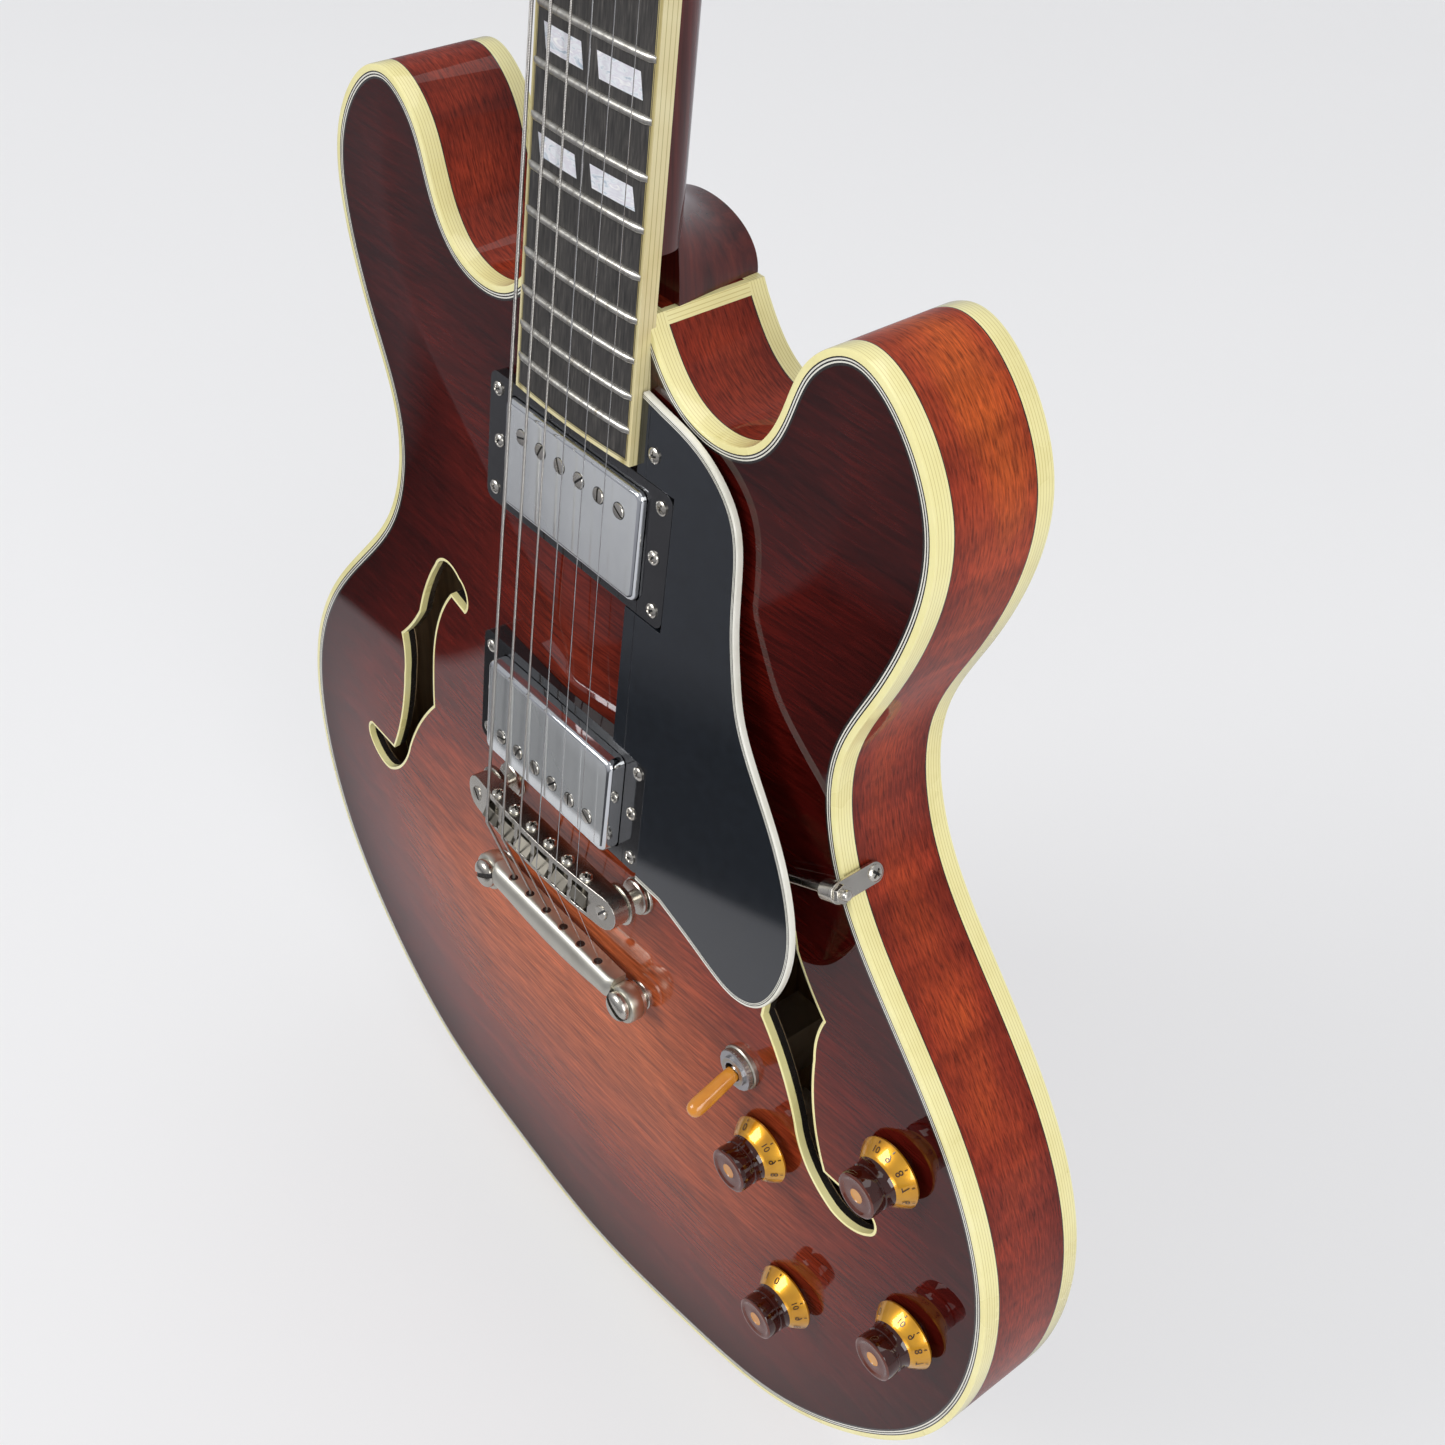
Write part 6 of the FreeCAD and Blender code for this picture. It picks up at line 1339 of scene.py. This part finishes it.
bracket = Form()
bracket.lathe([(0, -26.1), (1.5, -26.1), (1.5, -4.2), (2.9, -4.2), (3.3, -3.8), (3.3, 0.9)],
              bracket_at(0, BRACKET_ROD_Y), edge_out, 0, 48)
tab_radius, tab_low, tab_high = 3.35, 0.9, 2.4
stadium = []
for k in range(41):
    angle = math.pi * k / 20
    centre_y = BRACKET_ROD_Y if k <= 20 else BRACKET_SCREW_Y
    stadium.append((centre_y - tab_radius * math.sin(angle), tab_radius * math.cos(angle)))
along_rim = edge_out.cross(Vector((0, 1, 0)))
bracket.slab(stadium, lambda p: bracket_at(tab_low, p[0]) + along_rim * p[1] * MM,
             lambda p: bracket_at(tab_high, p[0]) + along_rim * p[1] * MM)
hexagon = [(3.1 * math.cos(math.pi * k / 3 + 0.3), 3.1 * math.sin(math.pi * k / 3 + 0.3)) for k in range(6)]
bracket.slab(hexagon, lambda p: bracket_at(tab_high, BRACKET_ROD_Y + p[0]) + along_rim * p[1] * MM,
             lambda p: bracket_at(tab_high + 2.1, BRACKET_ROD_Y + p[0]) + along_rim * p[1] * MM)
bracket.lathe([(1.7, 4.4), (1.7, 5.9), (1.4, 6.4), (0.8, 6.65), (0, 6.7)], bracket_at(0, BRACKET_ROD_Y),
              edge_out, 0, 32)
bracket.build("guard_bracket", [nickel], ROOT, ["pickguard_bracket"], 35, bevel=0.16)

# Small CAD forms kept, with softened edges or with their own materials
from_cad(["output_jack"], "jack_socket", nickel, ROOT, 0.2)
from_cad(["tuner_housings"], "tuner_cases", nickel, ROOT, 0.35, segments=3)
for number in range(1, 7):
    from_cad(["tuner_button_%d" % number], "button_%d" % number, nickel, "tuner_button_%d" % number, 1.2,
             segments=4)
from_cad(["headstock_overlay"], "head_face", black_lacquer, ROOT, 0.1)
from_cad(["truss_rod_cover"], "rod_cover", black_plastic, ROOT, 0.3)
from_cad(["nut"], "nut_block", bone, ROOT, 0.2)

WINDINGS = 4.0
for index, (x, z) in enumerate(POST_PLACES):
    number, radius = 6 - index, STRING_RADII[index]
    post = Form()
    post.lathe([(0, -20), (3.0, -20), (3.0, 3.6), (2.5, 4.4), (2.5, 9.0), (3.0, 9.8), (3.0, 17.4),
                (2.7, 18.6),
                (2.0, 19.0), (0, 19.0)], on_head(x, 0, z), HEAD_OUT, 0, 40)
    side = -1 if x < 0 else 1
    reach, wind = 2.55 + radius, min(radius * 2.05, 1.2)
    path = []
    for k in range(97):
        angle = (math.pi if side > 0 else 0) + 2 * math.pi * WINDINGS * k / 96 * side
        path.append(on_head(x + reach * math.cos(angle), 7.9 - wind * WINDINGS * k / 96,
                            z + reach * math.sin(angle)))
    post.tube(path, radius, 1, 10)
    post.build("post_%d" % number, [nickel, wire_of(index)], "tuner_post_%d" % number,
               ["tuner_post_%d" % number],
               50, recalc=False)

pegs = Form()
for seat, direction, _ in STRAP_SEATS:
    pegs.lathe([(0, 0), (5.4, 0), (5.6, 0.4), (4.6, 1.6), (3.5, 4.0), (3.4, 6.5), (4.0, 8.6), (5.8, 10.0),
                (7.2, 10.5), (7.2, 11.2), (6.6, 12.0), (5.0, 12.45), (3.0, 12.5)], seat * MM, direction, 0, 56)
pegs.build("strap_pegs", [nickel], ROOT, ["strap_buttons"], 45, recalc=False)

kept = {"fingerboard": ebony, "fingerboard_binding": board_binding, "fret_inlays": pearl,
        "heel_binding": cream_end, "centre_block": raw_wood, "headstock_binding": cream_plain,
        "truss_rod": steel, "pickup_coils": coil_black, "pot_bodies": steel, "switch_body": steel}
for node, material in kept.items():
    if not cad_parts[node].material_slots:
        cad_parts[node].data.materials.append(material)
    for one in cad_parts[node].material_slots:
        one.material = material

# Stage: one white sweep, two soft lamps and a plain pale sky
FLOOR = -0.0152


def stage_sweep():
    made, tree, shader = finish("stage_white", (0.80, 0.80, 0.81), rough=0.85)
    cloud = noise(tree, place_of(tree, (1.3, 1.3, 1.3)), 1.0, 2.0)
    paper = ramp_node(tree, cloud, [(0.2, (0.86, 0.86, 0.87)), (0.8, (0.90, 0.90, 0.91))])
    x, y, z = axes_of(tree)
    # Painted dark band across the floor in front of the guitar, with grey beyond it: it stands in for a dark
    # room and darkens the reflections in the glossy parts.
    slant = maths(tree, "MULTIPLY_ADD", x, 0.43, y)
    reach = maths(tree, "MULTIPLY", slant, -1.0)
    strip = ramp_node(tree, reach, [(0.385, (1, 1, 1)), (0.395, (0.05, 0.05, 0.055)),
                                    (0.54, (0.05, 0.05, 0.055)),
                                    (0.62, (0.32, 0.32, 0.34)), (1.0, (0.45, 0.45, 0.47))])
    rays = tree.nodes.new("ShaderNodeLightPath")
    seen = mixed(tree, 1.0, paper, strip, "MULTIPLY")
    # Seen in reflections, the floor is painted darker than it is: painted reflection.
    painted_reflection_dimming = mixed(tree, rays.outputs["Is Glossy Ray"], (1, 1, 1), (0.66, 0.66, 0.67))
    tint(tree, shader, mixed(tree, 1.0, seen, painted_reflection_dimming, "MULTIPLY"))
    glow = tree.nodes.new("ShaderNodeEmission")
    glow.inputs["Color"].default_value = (0.86, 0.86, 0.865, 1)
    blend = tree.nodes.new("ShaderNodeMixShader")
    tree.links.new(maths(tree, "MULTIPLY", rays.outputs["Is Camera Ray"], 0.55), blend.inputs["Fac"])
    tree.links.new(shader.outputs[0], blend.inputs[1])
    tree.links.new(glow.outputs[0], blend.inputs[2])
    tree.links.new(blend.outputs[0], tree.nodes["Material Output"].inputs["Surface"])
    form = Form()
    radius, depth, height, half = 1.2, 1.6, 3.2, 6.0
    profile = [(-6.0, FLOOR), (depth, FLOOR)]
    profile += [(depth + radius * math.sin(math.radians(a)), FLOOR + radius * (1 - math.cos(math.radians(a))))
                for a in range(6, 91, 6)]
    profile.append((depth + radius, height))
    points = [(x, y, z) for x in (-half, half) for y, z in profile]
    size = len(profile)
    form.add(points, [[k, k + 1, size + k + 1, size + k] for k in range(size - 1)], 0)
    mesh = bpy.data.meshes.new("sweep")
    mesh.from_pydata(form.points, [], form.faces)
    mesh.materials.append(made)
    mesh.shade_smooth()
    sweep = bpy.data.objects.new("sweep", mesh)
    bpy.context.scene.collection.objects.link(sweep)


stage_sweep()


def lamp(name, place, target, size, power, colour=(1, 1, 1)):
    data = bpy.data.lights.new(name, "AREA")
    data.shape = "RECTANGLE"
    data.size, data.size_y = size
    data.energy = power
    data.color = colour
    made = bpy.data.objects.new(name, data)
    made.location = place
    made.rotation_euler = (Vector(target) - Vector(place)).to_track_quat("-Z", "Y").to_euler()
    bpy.context.scene.collection.objects.link(made)


lamp("key", (-1.3, -2.6, 2.0), (0, 0, 0.3), (1.6, 1.6), 58)
lamp("fill", (2.5, -0.9, 1.5), (0, 0, 0.3), (1.4, 1.8), 34)
lamp("top", (0.2, 0.6, 2.8), (0, 0, 0.3), (2.0, 1.2), 10)

world = bpy.data.worlds.new("sky")
bpy.context.scene.world = world
world.use_nodes = True
sky = world.node_tree
background = sky.nodes["Background"]
rays = sky.nodes.new("ShaderNodeLightPath")
seen = maths(sky, "MAXIMUM", rays.outputs["Is Camera Ray"], rays.outputs["Is Transmission Ray"])
sky.links.new(mixed(sky, seen, (0.62, 0.63, 0.66), (1, 1, 1)), background.inputs["Color"])
background.inputs["Strength"].default_value = 0.72

camera_data = bpy.data.cameras.new("camera")
camera_data.lens = 46.644
camera_data.sensor_width = 36.0
camera_data.clip_start, camera_data.clip_end = 0.02, 60
camera = bpy.data.objects.new("camera", camera_data)
right = Vector((0.6329055, 0.7732333, 0.0392543))
down = Vector((0.519325, -0.3863806, -0.7622411))
forward = Vector((-0.5742231, 0.5028123, -0.6461018))
turned = Matrix((right, -down, -forward)).transposed().to_4x4()
camera.matrix_world = Matrix.Translation(Vector((0.388985, -0.304089, 0.701997))) @ turned
bpy.context.scene.collection.objects.link(camera)
bpy.context.scene.camera = camera
bpy.context.scene.view_settings.view_transform = "Standard"
